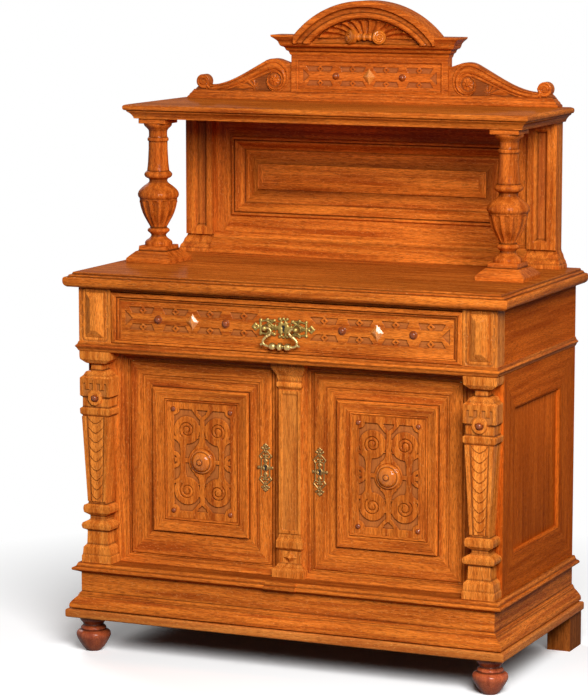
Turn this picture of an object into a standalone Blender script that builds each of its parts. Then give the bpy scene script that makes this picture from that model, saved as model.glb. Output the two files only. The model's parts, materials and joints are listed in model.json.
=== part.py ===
"""Carved oak buffet cabinet.

A cupboard with two panelled doors, a frieze drawer with a brass pull, a countertop,
an open niche between turned columns and a panelled back, and a scrolled crest.
Metres, +Z up, front towards -Y, origin on the floor in the middle of the footprint.
"""

import math

import bmesh
import bpy
from mathutils import Matrix, Vector

# Clearances
GAP = 0.0003  # between pieces that touch or seat in one another
DOOR_GAP = 0.0017  # beside each door
DOOR_END_GAP = 0.0010  # above and below each door
DRAWER_GAP = 0.0010  # round the drawer front
TRIM = 0.0020  # length that frame members run on before an opening cuts them back

# Body
BODY_WIDTH = 1.100
BODY_DEPTH = 0.574  # frieze front to back
CARCASS_SETBACK = 0.050  # cupboard front behind the frieze front
SIDE_THICKNESS = 0.024
BACK_THICKNESS = 0.018

# Heights, from the floor up
FOOT_HEIGHT = 0.0902
PLINTH_BASE_HEIGHT = 0.0215
PLINTH_HEIGHT = 0.0923
LEDGE_HEIGHT = 0.0253
CUPBOARD_HEIGHT = 0.5347
WAIST_HEIGHT = 0.024
FRIEZE_HEIGHT = 0.137
TOP_THICKNESS = 0.0366
NICHE_HEIGHT = 0.3638
SHELF_THICKNESS = 0.0366
CREST_BASE_HEIGHT = 0.023
TABLET_HEIGHT = 0.093
CORNICE_HEIGHT = 0.053
ARCH_RISE = 0.089

# How far each moulding stands out at the sides and at the front
PLINTH_BASE_SIDE, PLINTH_BASE_FRONT = 0.033, 0.027
PLINTH_SIDE, PLINTH_FRONT = 0.025, 0.021
LEDGE_SIDE, LEDGE_FRONT = 0.0204, 0.016
LEDGE_BREAK, LEDGE_BREAK_WIDTH = 0.005, 0.075  # step forward under the centre pilaster
WAIST_SIDE, WAIST_FRONT = 0.009, 0.008
TOP_SIDE, TOP_FRONT = 0.0324, 0.0248

# Feet
FOOT_RADIUS = 0.0437
FOOT_SIDE_INSET, FOOT_FRONT_INSET = 0.019, 0.026  # bun axis from the body's side and front
REAR_FOOT_WIDTH, REAR_FOOT_DEPTH = 0.0606, 0.0865
REAR_FOOT_OVERHANG = 0.026
PLINTH_WALL = 0.070

# Door surround
STILE_WIDTH = 0.1075
CENTRE_STILE_WIDTH = 0.109
CENTRE_STILE_SETBACK = 0.010
FRAME_DEPTH = 0.055
RAIL_DEPTH = 0.045
TOP_RAIL_HEIGHT = 0.026
SILL_HEIGHT = 0.0212
SPLAY_WIDTH, SPLAY_DEPTH = 0.0265, 0.016

# Pilasters
PILASTER_WIDTH = 0.085
PILASTER_SETBACK = 0.020  # how far its narrowest part falls back
CENTRE_PILASTER_WIDTH = 0.0896
CENTRE_PILASTER_FRONT = 0.0345
CENTRE_PILASTER_SETBACK = 0.045

# Cupboard sides and inner shelf
SIDE_STILE_FRONT, SIDE_STILE_BACK = 0.085, 0.114
SIDE_RAIL_BOTTOM, SIDE_RAIL_TOP = 0.0967, 0.094
SIDE_LIP = 0.005
SIDE_LIP_WIDTH = 0.008
SIDE_PANEL_THICKNESS = 0.008
INNER_SHELF_HEIGHT = 0.270  # above the bottom board
INNER_SHELF_THICKNESS = 0.018
INNER_SHELF_SETBACK = 0.010  # behind the centre stile
HOUSING_DEPTH = 0.005

# Doors
DOOR_SETBACK = 0.065  # door face behind the frieze front
DOOR_THICKNESS = 0.022
DOOR_EASE = 0.003
DOOR_FLAT = 0.032
DOOR_STEP_WIDTH, DOOR_STEP_DEPTH = 0.0094, 0.004
DOOR_SUNK_WIDTH = 0.020
DOOR_MOULDING_WIDTH, DOOR_MOULDING_RISE = 0.0359, 0.009
DOOR_PANEL_DROP = 0.001  # panel face behind the door face
DOOR_REBATE_WIDTH, DOOR_LIP = 0.008, 0.006
DOOR_PANEL_THICKNESS = 0.014
DOOR_BOSS_RADIUS, DOOR_BOSS_HEIGHT = 0.028, 0.018
PIVOT_INSET = 0.006  # pivot axis from the door's edge and face
PIVOT_RADIUS = 0.003
PIVOT_REACH = 0.011  # length of the pin in the door and in the frame

# Locks
ESCUTCHEON_WIDTH, ESCUTCHEON_HEIGHT = 0.040, 0.1225
ESCUTCHEON_INSET = 0.016  # centre line from the door's free edge
PLATE_THICKNESS = 0.002
LOCK_WIDTH, LOCK_HEIGHT, LOCK_THICKNESS = 0.050, 0.070, 0.013
LOCK_EDGE = 0.002  # lock case behind the door's free edge
BOLT_WIDTH, BOLT_THICKNESS, BOLT_LENGTH = 0.016, 0.006, 0.044
BOLT_THROW = 0.010
BOLT_SHORT = 0.0015  # drawn bolt inside the edge
MORTISE_DEPTH = 0.009
MORTISE_GAP = 0.001

# Frieze and drawer
CORNER_BLOCK_WIDTH = 0.087
CORNER_PANEL_INSET_X, CORNER_PANEL_INSET_Z = 0.019, 0.013
CORNER_PANEL_RISE = 0.004
TOP_STRIP_HEIGHT = 0.0095
TOP_STRIP_SETBACK, TOP_STRIP_DEPTH = 0.002, 0.045
DRAWER_FRONT_THICKNESS = 0.026
DRAWER_EDGE_SIDE, DRAWER_EDGE_TOP, DRAWER_EDGE_BOTTOM = 0.0252, 0.022, 0.013
DRAWER_FIELD_DEPTH = 0.011
DRAWER_WALL = 0.012
DRAWER_REAR_GAP = 0.0397  # behind the shut drawer
DRAWER_SIDE_HEIGHT = 0.095
DRAWER_SIDE_GAP = 0.0005  # between a drawer side and its guide
DRAWER_BOTTOM_RISE, DRAWER_BOTTOM_THICKNESS = 0.006, 0.008
GUIDE_HEIGHT = 0.060

# Drawer pull
BACKPLATE_WIDTH, BACKPLATE_HEIGHT = 0.1674, 0.053
PULL_HEIGHT = 0.062  # post axis above the frieze's foot
POST_SPACING = 0.082
POST_REACH = 0.0187  # plate face to bail axis
POST_NECK, POST_BALL = 0.0045, 0.0075
BAIL_RADIUS = 0.0028
BAIL_DROP, BAIL_SPREAD = 0.0525, 0.0475
GRIP_LENGTH, GRIP_RADIUS = 0.060, 0.006

# Niche
COLUMN_INSET, COLUMN_SETBACK = 0.079, 0.064  # axis from the body's side and behind the shelf's front edge
COLUMN_RADIUS = 0.0526
COLUMN_BASE_WIDTH, COLUMN_BASE_HEIGHT = 0.124, 0.041
ABACUS_WIDTH, ABACUS_HEIGHT = 0.074, 0.0127
POST_INSET, POST_WIDTH, POST_DEPTH = 0.0397, 0.077, 0.044
POST_FOOT_HEIGHT = 0.045
POST_FLARE = 0.0157
UPPER_FRAME_DEPTH = 0.026
UPPER_EDGE_SIDE, UPPER_EDGE_TOP, UPPER_EDGE_BOTTOM = 0.0475, 0.0604, 0.0974
UPPER_MOULDING_WIDTH, UPPER_MOULDING_RISE = 0.040, 0.008
UPPER_LIP, UPPER_REBATE_WIDTH = 0.004, 0.008
UPPER_PANEL_THICKNESS = 0.012
UPPER_FIELD_MARGIN, UPPER_FIELD_BEVEL, UPPER_FIELD_RISE = 0.0300, 0.0165, 0.010
SKIRTING_HEIGHT, SKIRTING_OUT = 0.056, 0.034
SHELF_INSET, SHELF_DEPTH = 0.010, 0.350
SHELF_EDGE = 0.022

# Crest
CREST_BASE_INSET, CREST_BASE_DEPTH = 0.057, 0.031
CREST_BASE_SIDE, CREST_BASE_FRONT = 0.0156, 0.006
TABLET_WIDTH, TABLET_DEPTH = 0.430, 0.030
CORNICE_OUT, CORNICE_FRONT = 0.041, 0.040
ARCH_WIDTH, ARCH_DEPTH = 0.385, 0.072
ARCH_SEAT = 0.021  # arch foot below the top of the cornice
ARCHIVOLT_WIDTH, ARCHIVOLT_RELIEF, TYMPANUM_DROP = 0.0452, 0.009, 0.030
WING_DEPTH = 0.024
VOLUTE_RADIUS, VOLUTE_X, VOLUTE_Z = 0.055, 0.050, 0.028  # centre from the tablet and the base
WING_ROOT = 0.069  # height where the wing meets the tablet
CURL_RADIUS, CURL_END, CURL_Z = 0.0185, 0.0232, 0.020  # centre from the wing's end and the base
WING_END_GAP = 0.001  # wing short of the base's end

# Outlines of the mouldings, bottom to top: (share of the projection, share of the height)
PLINTH_BASE_PROFILE = [(0.80, 0.0), (0.95, 0.10), (1.0, 0.35), (1.0, 0.65), (0.92, 0.88), (0.78, 1.0)]
PLINTH_PROFILE = [(1.0, 0.0), (1.0, 0.06), (0.92, 0.12), (0.70, 0.22), (0.42, 0.32), (0.26, 0.38), (0.18, 0.40), (0.18, 0.445), (0.06, 0.455), (0.0, 0.47), (0.0, 1.0)]
LEDGE_PROFILE = [(0.10, 0.0), (0.45, 0.12), (0.92, 0.22), (1.0, 0.36), (0.92, 0.52), (0.55, 0.60), (0.42, 0.82), (0.30, 1.0)]
WAIST_PROFILE = [(0.0, 0.0), (0.30, 0.12), (0.55, 0.34), (1.0, 0.52), (0.70, 0.66), (0.35, 0.76), (0.20, 1.0)]
TOP_PROFILE = [(0.72, 0.0), (0.92, 0.12), (1.0, 0.30), (1.0, 0.56), (0.92, 0.68), (0.66, 0.70), (0.60, 0.84), (0.40, 0.86), (0.34, 1.0)]
SHELF_PROFILE = [(0.0, 0.0), (0.10, 0.18), (0.35, 0.38), (0.62, 0.48), (0.66, 0.58), (0.90, 0.60), (1.0, 0.72), (1.0, 0.86), (0.90, 0.95), (0.55, 1.0)]
CORNICE_PROFILE = [(0.0, 0.0), (0.08, 0.06), (0.12, 0.20), (0.26, 0.24), (0.32, 0.40), (0.50, 0.44), (0.58, 0.52), (0.64, 0.68), (0.76, 0.77), (0.90, 0.86), (1.0, 0.91), (1.0, 1.0)]
CREST_BASE_PROFILE = [(1.0, 0.0), (1.0, 0.22), (0.72, 0.30), (0.60, 0.52), (0.28, 0.66), (0.20, 0.82), (0.0, 0.88), (0.0, 1.0)]
SKIRTING_PROFILE = [(1.0, 0.0), (1.0, 0.42), (0.80, 0.52), (0.42, 0.66), (0.30, 0.84), (0.12, 0.92), (0.0, 1.0)]
POST_FOOT_PROFILE = [(1.0, 0.0), (1.0, 0.16), (0.84, 0.24), (0.80, 0.36), (0.50, 0.50), (0.36, 0.72), (0.12, 0.84), (0.0, 1.0)]
SPLAY_PROFILE = [(0.0, 1.0), (0.10, 0.92), (0.13, 0.78), (0.30, 0.72), (0.46, 0.56), (0.52, 0.40), (0.74, 0.24), (0.96, 0.0)]

# Outlines of the pilasters, bottom to top: (share of the half width, share of the height)
PILASTER_PROFILE = [
    (0.98, 0.0), (0.98, 0.031), (0.92, 0.038), (0.88, 0.072), (0.68, 0.088), (0.65, 0.152), (0.92, 0.160), (0.98, 0.176),
    (0.92, 0.188), (0.56, 0.202), (0.48, 0.210), (0.48, 0.222), (0.84, 0.238), (0.88, 0.256), (0.84, 0.272), (0.60, 0.280),
    (0.58, 0.290), (0.85, 0.698), (0.98, 0.706), (1.0, 0.730), (0.84, 0.738), (0.84, 0.784), (0.97, 0.790), (0.97, 0.876),
    (0.80, 0.886), (0.66, 0.904), (0.38, 0.910), (0.36, 0.938), (0.66, 0.944), (0.86, 0.956), (0.97, 0.962), (1.0, 0.976),
    (1.0, 1.0),
]
CENTRE_PILASTER_PROFILE = [
    (0.96, 0.0), (0.96, 0.036), (0.80, 0.048), (0.66, 0.064), (0.65, 0.124), (0.79, 0.136), (0.79, 0.166), (0.68, 0.186),
    (0.65, 0.200), (0.65, 0.872), (0.76, 0.884), (0.76, 0.898), (0.70, 0.908), (0.76, 0.936), (0.94, 0.962), (1.0, 0.976),
    (1.0, 1.0),
]

# Outlines of the turned pieces, top to bottom: (share of the largest radius, share of the height)
BUN_PROFILE = [
    (0.79, 1.0), (0.79, 0.88), (0.62, 0.80), (0.57, 0.74), (0.70, 0.69), (0.75, 0.65), (0.70, 0.61), (0.88, 0.575),
    (0.97, 0.53), (1.0, 0.47), (0.97, 0.40), (0.88, 0.31), (0.76, 0.21), (0.64, 0.12), (0.48, 0.03), (0.40, 0.0),
]
COLUMN_PROFILE = [
    (0.66, 1.0), (0.685, 0.991), (0.64, 0.975), (0.50, 0.954), (0.44, 0.937), (0.44, 0.887), (0.51, 0.879), (0.51, 0.858),
    (0.44, 0.850), (0.515, 0.613), (0.62, 0.602), (0.69, 0.581), (0.62, 0.558), (0.45, 0.547), (0.43, 0.522), (0.54, 0.505),
    (0.68, 0.489), (0.86, 0.463), (0.97, 0.439), (1.0, 0.414), (0.97, 0.398), (0.90, 0.386), (0.90, 0.340), (0.80, 0.281),
    (0.70, 0.240), (0.56, 0.198), (0.42, 0.158), (0.40, 0.146), (0.53, 0.133), (0.54, 0.115), (0.42, 0.100), (0.34, 0.082),
    (0.44, 0.058), (0.60, 0.041), (0.67, 0.024), (0.66, 0.0),
]
BOSS_PROFILE = [(0.10, 1.0), (0.20, 0.94), (0.24, 0.80), (0.42, 0.76), (0.66, 0.62), (0.80, 0.42), (0.84, 0.26), (1.0, 0.20), (1.0, 0.0)]
GRIP_PROFILE = [(0.45, 1.0), (0.60, 0.92), (0.45, 0.84), (0.85, 0.72), (0.60, 0.62), (1.0, 0.50), (0.60, 0.38), (0.85, 0.28), (0.45, 0.16), (0.60, 0.08), (0.45, 0.0)]

# Right half of the bail from its pin to the grip: shares of the spread and of the drop
BAIL_OUTLINE = [(0.55, 0.03), (0.46, 0.14), (0.48, 0.26), (0.61, 0.40), (0.81, 0.53), (0.98, 0.67), (1.0, 0.81), (0.87, 0.94), (0.64, 1.0)]

# Half outlines of the pierced plates, from one end to the other: shares of the half width and half length
ESCUTCHEON_OUTLINE = [
    (0.22, 1.0), (0.34, 0.88), (0.20, 0.80), (0.40, 0.72), (0.24, 0.64), (0.62, 0.48), (0.60, 0.34), (0.50, 0.26),
    (0.56, 0.12), (0.96, 0.10), (1.0, 0.0),
]
BACKPLATE_OUTLINE = [
    (0.16, 1.0), (0.44, 0.93), (0.40, 0.84), (0.72, 0.74), (0.66, 0.62), (0.92, 0.50), (0.74, 0.38), (0.82, 0.24),
    (0.98, 0.12), (1.0, 0.0),
]

# Derived levels and planes
HALF = BODY_WIDTH / 2
FACE_Y = (max(PLINTH_BASE_FRONT, TOP_FRONT) - BODY_DEPTH) / 2  # frieze front
BACK_Y = FACE_Y + BODY_DEPTH
CARCASS_Y = FACE_Y + CARCASS_SETBACK
DOOR_Y = FACE_Y + DOOR_SETBACK
Z_PLINTH_BASE = FOOT_HEIGHT
Z_PLINTH = Z_PLINTH_BASE + PLINTH_BASE_HEIGHT
Z_LEDGE = Z_PLINTH + PLINTH_HEIGHT
Z_FLOOR = Z_LEDGE + LEDGE_HEIGHT
Z_SILL = Z_FLOOR + SILL_HEIGHT
Z_WAIST = Z_FLOOR + CUPBOARD_HEIGHT
Z_RAIL = Z_WAIST - TOP_RAIL_HEIGHT
Z_FRIEZE = Z_WAIST + WAIST_HEIGHT
Z_TOP = Z_FRIEZE + FRIEZE_HEIGHT
Z_NICHE = Z_TOP + TOP_THICKNESS
Z_SHELF = Z_NICHE + NICHE_HEIGHT
Z_CREST = Z_SHELF + SHELF_THICKNESS
Z_TABLET = Z_CREST + CREST_BASE_HEIGHT
Z_CORNICE = Z_TABLET + TABLET_HEIGHT
Z_ARCH = Z_CORNICE + CORNICE_HEIGHT
INSIDE = HALF - SIDE_THICKNESS  # inner face of the sides
OPENING_IN = CENTRE_STILE_WIDTH / 2
OPENING_OUT = HALF - STILE_WIDTH
DOOR_IN, DOOR_OUT = OPENING_IN + DOOR_GAP, OPENING_OUT - DOOR_GAP
DOOR_LOW, DOOR_HIGH = Z_SILL + DOOR_END_GAP, Z_RAIL - DOOR_END_GAP
DOOR_MIDDLE = (DOOR_LOW + DOOR_HIGH) / 2
DRAWER_DEPTH = BODY_DEPTH - DRAWER_FRONT_THICKNESS - GAP - BACK_THICKNESS - DRAWER_REAR_GAP
COLUMN_SPACING = BODY_WIDTH - 2 * COLUMN_INSET
POST_OUTER = HALF - POST_INSET
SHELF_WIDTH = BODY_WIDTH - 2 * SHELF_INSET
CREST_BASE_WIDTH = BODY_WIDTH - 2 * CREST_BASE_INSET
WING_LENGTH = (CREST_BASE_WIDTH - TABLET_WIDTH) / 2 - WING_END_GAP
CURL_X = WING_LENGTH - CURL_END
SIDES = {"left": -1, "right": 1}

# Colour, roughness and metallic value of each finish
OAK = ((0.50, 0.20, 0.055), 0.42, 0.0)
INNER_OAK = ((0.58, 0.36, 0.17), 0.60, 0.0)
STAINED_OAK = ((0.33, 0.10, 0.03), 0.38, 0.0)
BRASS = ((0.52, 0.38, 0.16), 0.36, 1.0)
IRON = ((0.20, 0.19, 0.18), 0.50, 1.0)

for old in list(bpy.data.objects):
    bpy.data.objects.remove(old, do_unlink=True)
PARTS = bpy.data.collections.new("buffet_cabinet")
HELPERS = bpy.data.collections.new("cutters_and_forms")
for group in (PARTS, HELPERS):
    bpy.context.scene.collection.children.link(group)


def paint(obj, finish):
    """Gives an object its own Principled material."""
    colour, roughness, metallic = finish
    material = bpy.data.materials.new(obj.name + "_finish")
    material.use_nodes = True
    shader = material.node_tree.nodes["Principled BSDF"]
    shader.inputs["Base Color"].default_value = (*colour, 1.0)
    shader.inputs["Roughness"].default_value = roughness
    shader.inputs["Metallic"].default_value = metallic
    obj.data.materials.append(material)


def place(name, data, finish, location=(0.0, 0.0, 0.0)):
    """Links new object data as a part or, with no finish, as a hidden helper."""
    obj = bpy.data.objects.new(name, data)
    obj.location = location
    if finish is None:
        HELPERS.objects.link(obj)
        obj.hide_render = True
        obj.display_type = "WIRE"
    else:
        PARTS.objects.link(obj)
        paint(obj, finish)
    return obj


def mesh_object(name, bm, finish, location):
    """Writes a bmesh to a new object."""
    mesh = bpy.data.meshes.new(name)
    bm.to_mesh(mesh)
    bm.free()
    return place(name, mesh, finish, location)


def box(name, x, y, z, finish=None):
    """A block between pairs of coordinates."""
    low = Vector((min(x), min(y), min(z)))
    high = Vector((max(x), max(y), max(z)))
    bm = bmesh.new()
    bmesh.ops.create_cube(bm, size=1.0, matrix=Matrix.Diagonal((*(high - low), 1.0)))
    return mesh_object(name, bm, finish, (low + high) / 2)


def loft(name, loops, finish=None, ring=False):
    """A skin over matching loops of points, capped at both ends or closed into a ring."""
    points = [Vector(point) for loop in loops for point in loop]
    low = Vector([min(point[axis] for point in points) for axis in range(3)])
    high = Vector([max(point[axis] for point in points) for axis in range(3)])
    middle = (low + high) / 2
    bm = bmesh.new()
    rows = [[bm.verts.new(Vector(point) - middle) for point in loop] for loop in loops]
    pairs = list(zip(rows, rows[1:]))
    if ring:
        pairs.append((rows[-1], rows[0]))
    else:
        bm.faces.new(rows[0])
        bm.faces.new(rows[-1])
    for lower, upper in pairs:
        for i, vert in enumerate(lower):
            after = (i + 1) % len(lower)
            bm.faces.new((vert, lower[after], upper[after], upper[i]))
    bmesh.ops.recalc_face_normals(bm, faces=bm.faces)
    return mesh_object(name, bm, finish, middle)


def turned(name, profile, foot, axis="Z", finish=None, steps=24):
    """A lathe-turned solid. The profile runs from top to bottom as (radius, height above the foot)."""
    outline = [(0.0, profile[0][1]), *profile, (0.0, profile[-1][1])]
    mesh = bpy.data.meshes.new(name)
    mesh.from_pydata([(r, 0.0, h) for r, h in outline], [(i, i + 1) for i in range(len(outline) - 1)], [])
    obj = place(name, mesh, finish, foot)
    turns = {"Z": (0.0, 0.0, 0.0), "-Y": (math.pi / 2, 0.0, 0.0), "X": (0.0, math.pi / 2, 0.0)}
    obj.rotation_euler = turns[axis]
    screw = obj.modifiers.new("turn", "SCREW")
    screw.steps = screw.render_steps = steps
    screw.use_merge_vertices = True
    screw.merge_threshold = 0.0001
    return obj


def sized(profile, radius, height):
    """A share outline at its real size."""
    return [(r * radius, h * height) for r, h in profile]


def plate(name, outlines, thickness, location, finish=None):
    """A flat plate facing the front, from an outline in X and Z and the outlines of its holes."""
    curve = bpy.data.curves.new(name, "CURVE")
    curve.dimensions = "2D"
    curve.fill_mode = "BOTH"
    curve.extrude = thickness / 2
    for outline in outlines:
        spline = curve.splines.new("POLY")
        spline.points.add(len(outline) - 1)
        for point, (x, z) in zip(spline.points, outline):
            point.co = (x, z, 0.0, 1.0)
        spline.use_cyclic_u = True
    obj = place(name, curve, finish, location)
    obj.rotation_euler = (math.pi / 2, 0.0, 0.0)
    return obj


def to_mesh(obj, finish):
    """Swaps a curve for its welded mesh, so that it can be cut and joined."""
    bpy.context.view_layer.update()
    graph = bpy.context.evaluated_depsgraph_get()
    mesh = bpy.data.meshes.new_from_object(obj.evaluated_get(graph))
    mesh.materials.clear()
    bm = bmesh.new()
    bm.from_mesh(mesh)
    bmesh.ops.remove_doubles(bm, verts=bm.verts, dist=0.00001)
    bmesh.ops.recalc_face_normals(bm, faces=bm.faces)
    bm.to_mesh(mesh)
    bm.free()
    name, matrix = obj.name, obj.matrix_world.copy()
    bpy.data.objects.remove(obj, do_unlink=True)
    new = place(name, mesh, finish)
    new.matrix_world = matrix
    return new


def boolean(obj, operation, *others):
    """Cuts other objects from this one, or joins them to it."""
    for other in others:
        modifier = obj.modifiers.new(other.name, "BOOLEAN")
        modifier.operation = operation
        modifier.object = other
    return obj


def cut(obj, *cutters):
    """Cuts the given helpers from an object."""
    return boolean(obj, "DIFFERENCE", *cutters)


def join(obj, *forms):
    """Fuses the given helpers to an object."""
    return boolean(obj, "UNION", *forms)


def smooth(obj, angle=40.0):
    """Shades a round piece smooth, with its sharp edges kept."""
    obj.data.shade_smooth()
    obj.data.set_sharp_from_angle(angle=math.radians(angle))
    return obj


def axis_empty(name, location, *children, parent=None):
    """An empty on a joint's axis that carries the pieces moving about it."""
    empty = bpy.data.objects.new(name, None)
    empty.empty_display_size = 0.05
    PARTS.objects.link(empty)
    if parent is not None:
        empty.parent = parent
        empty.matrix_parent_inverse = Matrix.Translation(parent["place"]).inverted()
    empty.location = location
    empty["place"] = location
    for child in children:
        child.parent = empty
        child.matrix_parent_inverse = Matrix.Translation(location).inverted()
    return empty


def level(x, y, z):
    """A horizontal rectangle as a loop."""
    return [(x[0], y[0], z), (x[1], y[0], z), (x[1], y[1], z), (x[0], y[1], z)]


def upright(x, z, y):
    """A rectangle facing the front as a loop."""
    return [(x[0], y, z[0]), (x[1], y, z[0]), (x[1], y, z[1]), (x[0], y, z[1])]


def sideways(y, z, x):
    """A rectangle facing the side as a loop."""
    return [(x, y[0], z[0]), (x, y[1], z[0]), (x, y[1], z[1]), (x, y[0], z[1])]


def inset(span, low, high=None):
    """A span drawn in at both ends."""
    return span[0] + low, span[1] - (low if high is None else high)


def moulded(profile, x, y, z, side, front):
    """Loops of a block whose sides and front follow a profile and whose back is flat."""
    return [
        level((x[0] - out * side, x[1] + out * side), (y[0] - out * front, y[1]), z[0] + up * (z[1] - z[0]))
        for out, up in profile
    ]


def mirrored(x, side):
    """A span of X on the given side of the cabinet."""
    return tuple(sorted((side * x[0], side * x[1])))


def opening_cutter(label, side):
    """The door opening with its splayed and moulded edge, as a cutter."""
    loops = [upright(mirrored((OPENING_IN, OPENING_OUT), side), (Z_SILL, Z_RAIL), CARCASS_Y + 2 * FRAME_DEPTH)]
    for out, back in SPLAY_PROFILE + [(1.6, -0.9)]:
        x = mirrored((OPENING_IN - out * SPLAY_WIDTH, OPENING_OUT + out * SPLAY_WIDTH), side)
        z = (Z_SILL - out * SILL_HEIGHT, Z_RAIL + out * TOP_RAIL_HEIGHT)
        loops.append(upright(x, z, CARCASS_Y + back * SPLAY_DEPTH))
    return loft(label + "_opening_cutter", loops)


def make_feet():
    """Bun feet at the front and blocks at the back."""
    for label, side in SIDES.items():
        x, y = side * (HALF - FOOT_SIDE_INSET), FACE_Y + FOOT_FRONT_INSET
        smooth(turned(label + "_front_foot", sized(BUN_PROFILE, FOOT_RADIUS, FOOT_HEIGHT), (x, y, 0.0), finish=STAINED_OAK))
        outer = HALF + REAR_FOOT_OVERHANG
        box(
            label + "_rear_foot",
            mirrored((outer - REAR_FOOT_WIDTH, outer), side),
            (BACK_Y - REAR_FOOT_DEPTH, BACK_Y),
            (0.0, FOOT_HEIGHT),
            STAINED_OAK,
        )


def make_plinth():
    """Two moulded hollow frames, one on the other."""
    hollow_x, hollow_y = (-HALF + PLINTH_WALL, HALF - PLINTH_WALL), (FACE_Y + PLINTH_WALL, BACK_Y - PLINTH_WALL)
    body = (-HALF, HALF), (FACE_Y, BACK_Y)
    for name, profile, z, side, front in (
        ("plinth_base", PLINTH_BASE_PROFILE, (Z_PLINTH_BASE + GAP, Z_PLINTH), PLINTH_BASE_SIDE, PLINTH_BASE_FRONT),
        ("plinth_frame", PLINTH_PROFILE, (Z_PLINTH + GAP, Z_LEDGE), PLINTH_SIDE, PLINTH_FRONT),
    ):
        loops = moulded(profile, *body, z, side, front)
        loops += [level(hollow_x, hollow_y, z[1]), level(hollow_x, hollow_y, z[0])]
        loft(name, loops, OAK, ring=True)


def make_bottom_board(openings):
    """The bottom board with its moulded edge, stepped forward in the middle, and the sills of the doors."""
    z = (Z_LEDGE + GAP, Z_FLOOR)
    loops = []
    for out, up in LEDGE_PROFILE:
        x, front = HALF + out * LEDGE_SIDE, FACE_Y - out * LEDGE_FRONT
        step = LEDGE_BREAK_WIDTH / 2 + out * LEDGE_BREAK
        row = [(-x, BACK_Y), (-x, front), (-step, front), (-step, front - LEDGE_BREAK)]
        row += [(-px, py) for px, py in reversed(row)]
        loops.append([(px, py, z[0] + up * (z[1] - z[0])) for px, py in row])
    board = loft("bottom_board", loops, OAK)
    for label, side in SIDES.items():
        x = mirrored((OPENING_IN + TRIM + GAP, OPENING_OUT - TRIM - GAP), side)
        sill = box(label + "_sill_form", x, (CARCASS_Y, CARCASS_Y + RAIL_DEPTH), (Z_FLOOR - LEDGE_HEIGHT / 3, Z_SILL + TRIM))
        join(board, cut(sill, openings[label]))
    return board


def make_waist_board(openings):
    """The board between cupboard and drawer with its moulded edge, and the top rails of the doors under it."""
    z = (Z_WAIST + GAP, Z_FRIEZE)
    board = loft("waist_board", moulded(WAIST_PROFILE, (-HALF, HALF), (FACE_Y, BACK_Y), z, WAIST_SIDE, WAIST_FRONT), OAK)
    for label, side in SIDES.items():
        x = mirrored((OPENING_IN + TRIM + GAP, OPENING_OUT - TRIM - GAP), side)
        rail = box(label + "_rail_form", x, (CARCASS_Y, CARCASS_Y + RAIL_DEPTH), (Z_RAIL - TRIM, Z_WAIST + WAIST_HEIGHT / 3))
        join(board, cut(rail, openings[label]))
    notch = box(
        "waist_notch_cutter",
        (-INSIDE, INSIDE),
        (BACK_Y - BACK_THICKNESS - GAP, BACK_Y + BACK_THICKNESS),
        (Z_WAIST - WAIST_HEIGHT, Z_FRIEZE + WAIST_HEIGHT),
    )
    return cut(board, notch)


def make_carcass_sides():
    """Framed sides with their panels, housed for the inner shelf."""
    z = (Z_FLOOR + GAP, Z_WAIST)
    y = (CARCASS_Y + GAP, BACK_Y)
    shelf_z = Z_FLOOR + INNER_SHELF_HEIGHT
    shelf_y = (CARCASS_Y + FRAME_DEPTH + INNER_SHELF_SETBACK, BACK_Y - BACK_THICKNESS - GAP)
    hole = inset(y, SIDE_STILE_FRONT, SIDE_STILE_BACK), inset(z, SIDE_RAIL_BOTTOM, SIDE_RAIL_TOP)
    wide = inset(hole[0], -SIDE_LIP), inset(hole[1], -SIDE_LIP)
    rebate = inset(hole[0], -SIDE_LIP_WIDTH), inset(hole[1], -SIDE_LIP_WIDTH)
    seat = HALF - 2 * SIDE_LIP  # inner face of the lip that the panel lies against
    for label, side in SIDES.items():
        loops = [
            sideways(y, z, side * HALF),
            sideways(*wide, side * HALF),
            sideways(*hole, side * (HALF - SIDE_LIP)),
            sideways(*hole, side * seat),
            sideways(*rebate, side * seat),
            sideways(*rebate, side * INSIDE),
            sideways(y, z, side * INSIDE),
        ]
        frame = loft(label + "_side_frame", loops, OAK, ring=True)
        housing = box(
            label + "_housing_cutter",
            mirrored((INSIDE - HOUSING_DEPTH, INSIDE + HOUSING_DEPTH), side),
            inset(shelf_y, -GAP, -BACK_THICKNESS),
            (shelf_z - GAP, shelf_z + INNER_SHELF_THICKNESS + GAP),
        )
        cut(frame, housing)
        box(
            label + "_side_panel",
            mirrored((seat - GAP - SIDE_PANEL_THICKNESS, seat - GAP), side),
            inset(rebate[0], GAP),
            inset(rebate[1], GAP),
            OAK,
        )
    reach = INSIDE + HOUSING_DEPTH - GAP
    box("inner_shelf", (-reach, reach), shelf_y, (shelf_z, shelf_z + INNER_SHELF_THICKNESS), INNER_OAK)
    back = INSIDE - GAP
    box("back_board", (-back, back), (BACK_Y - BACK_THICKNESS, BACK_Y), (Z_FLOOR + GAP, Z_TOP), INNER_OAK)


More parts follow.
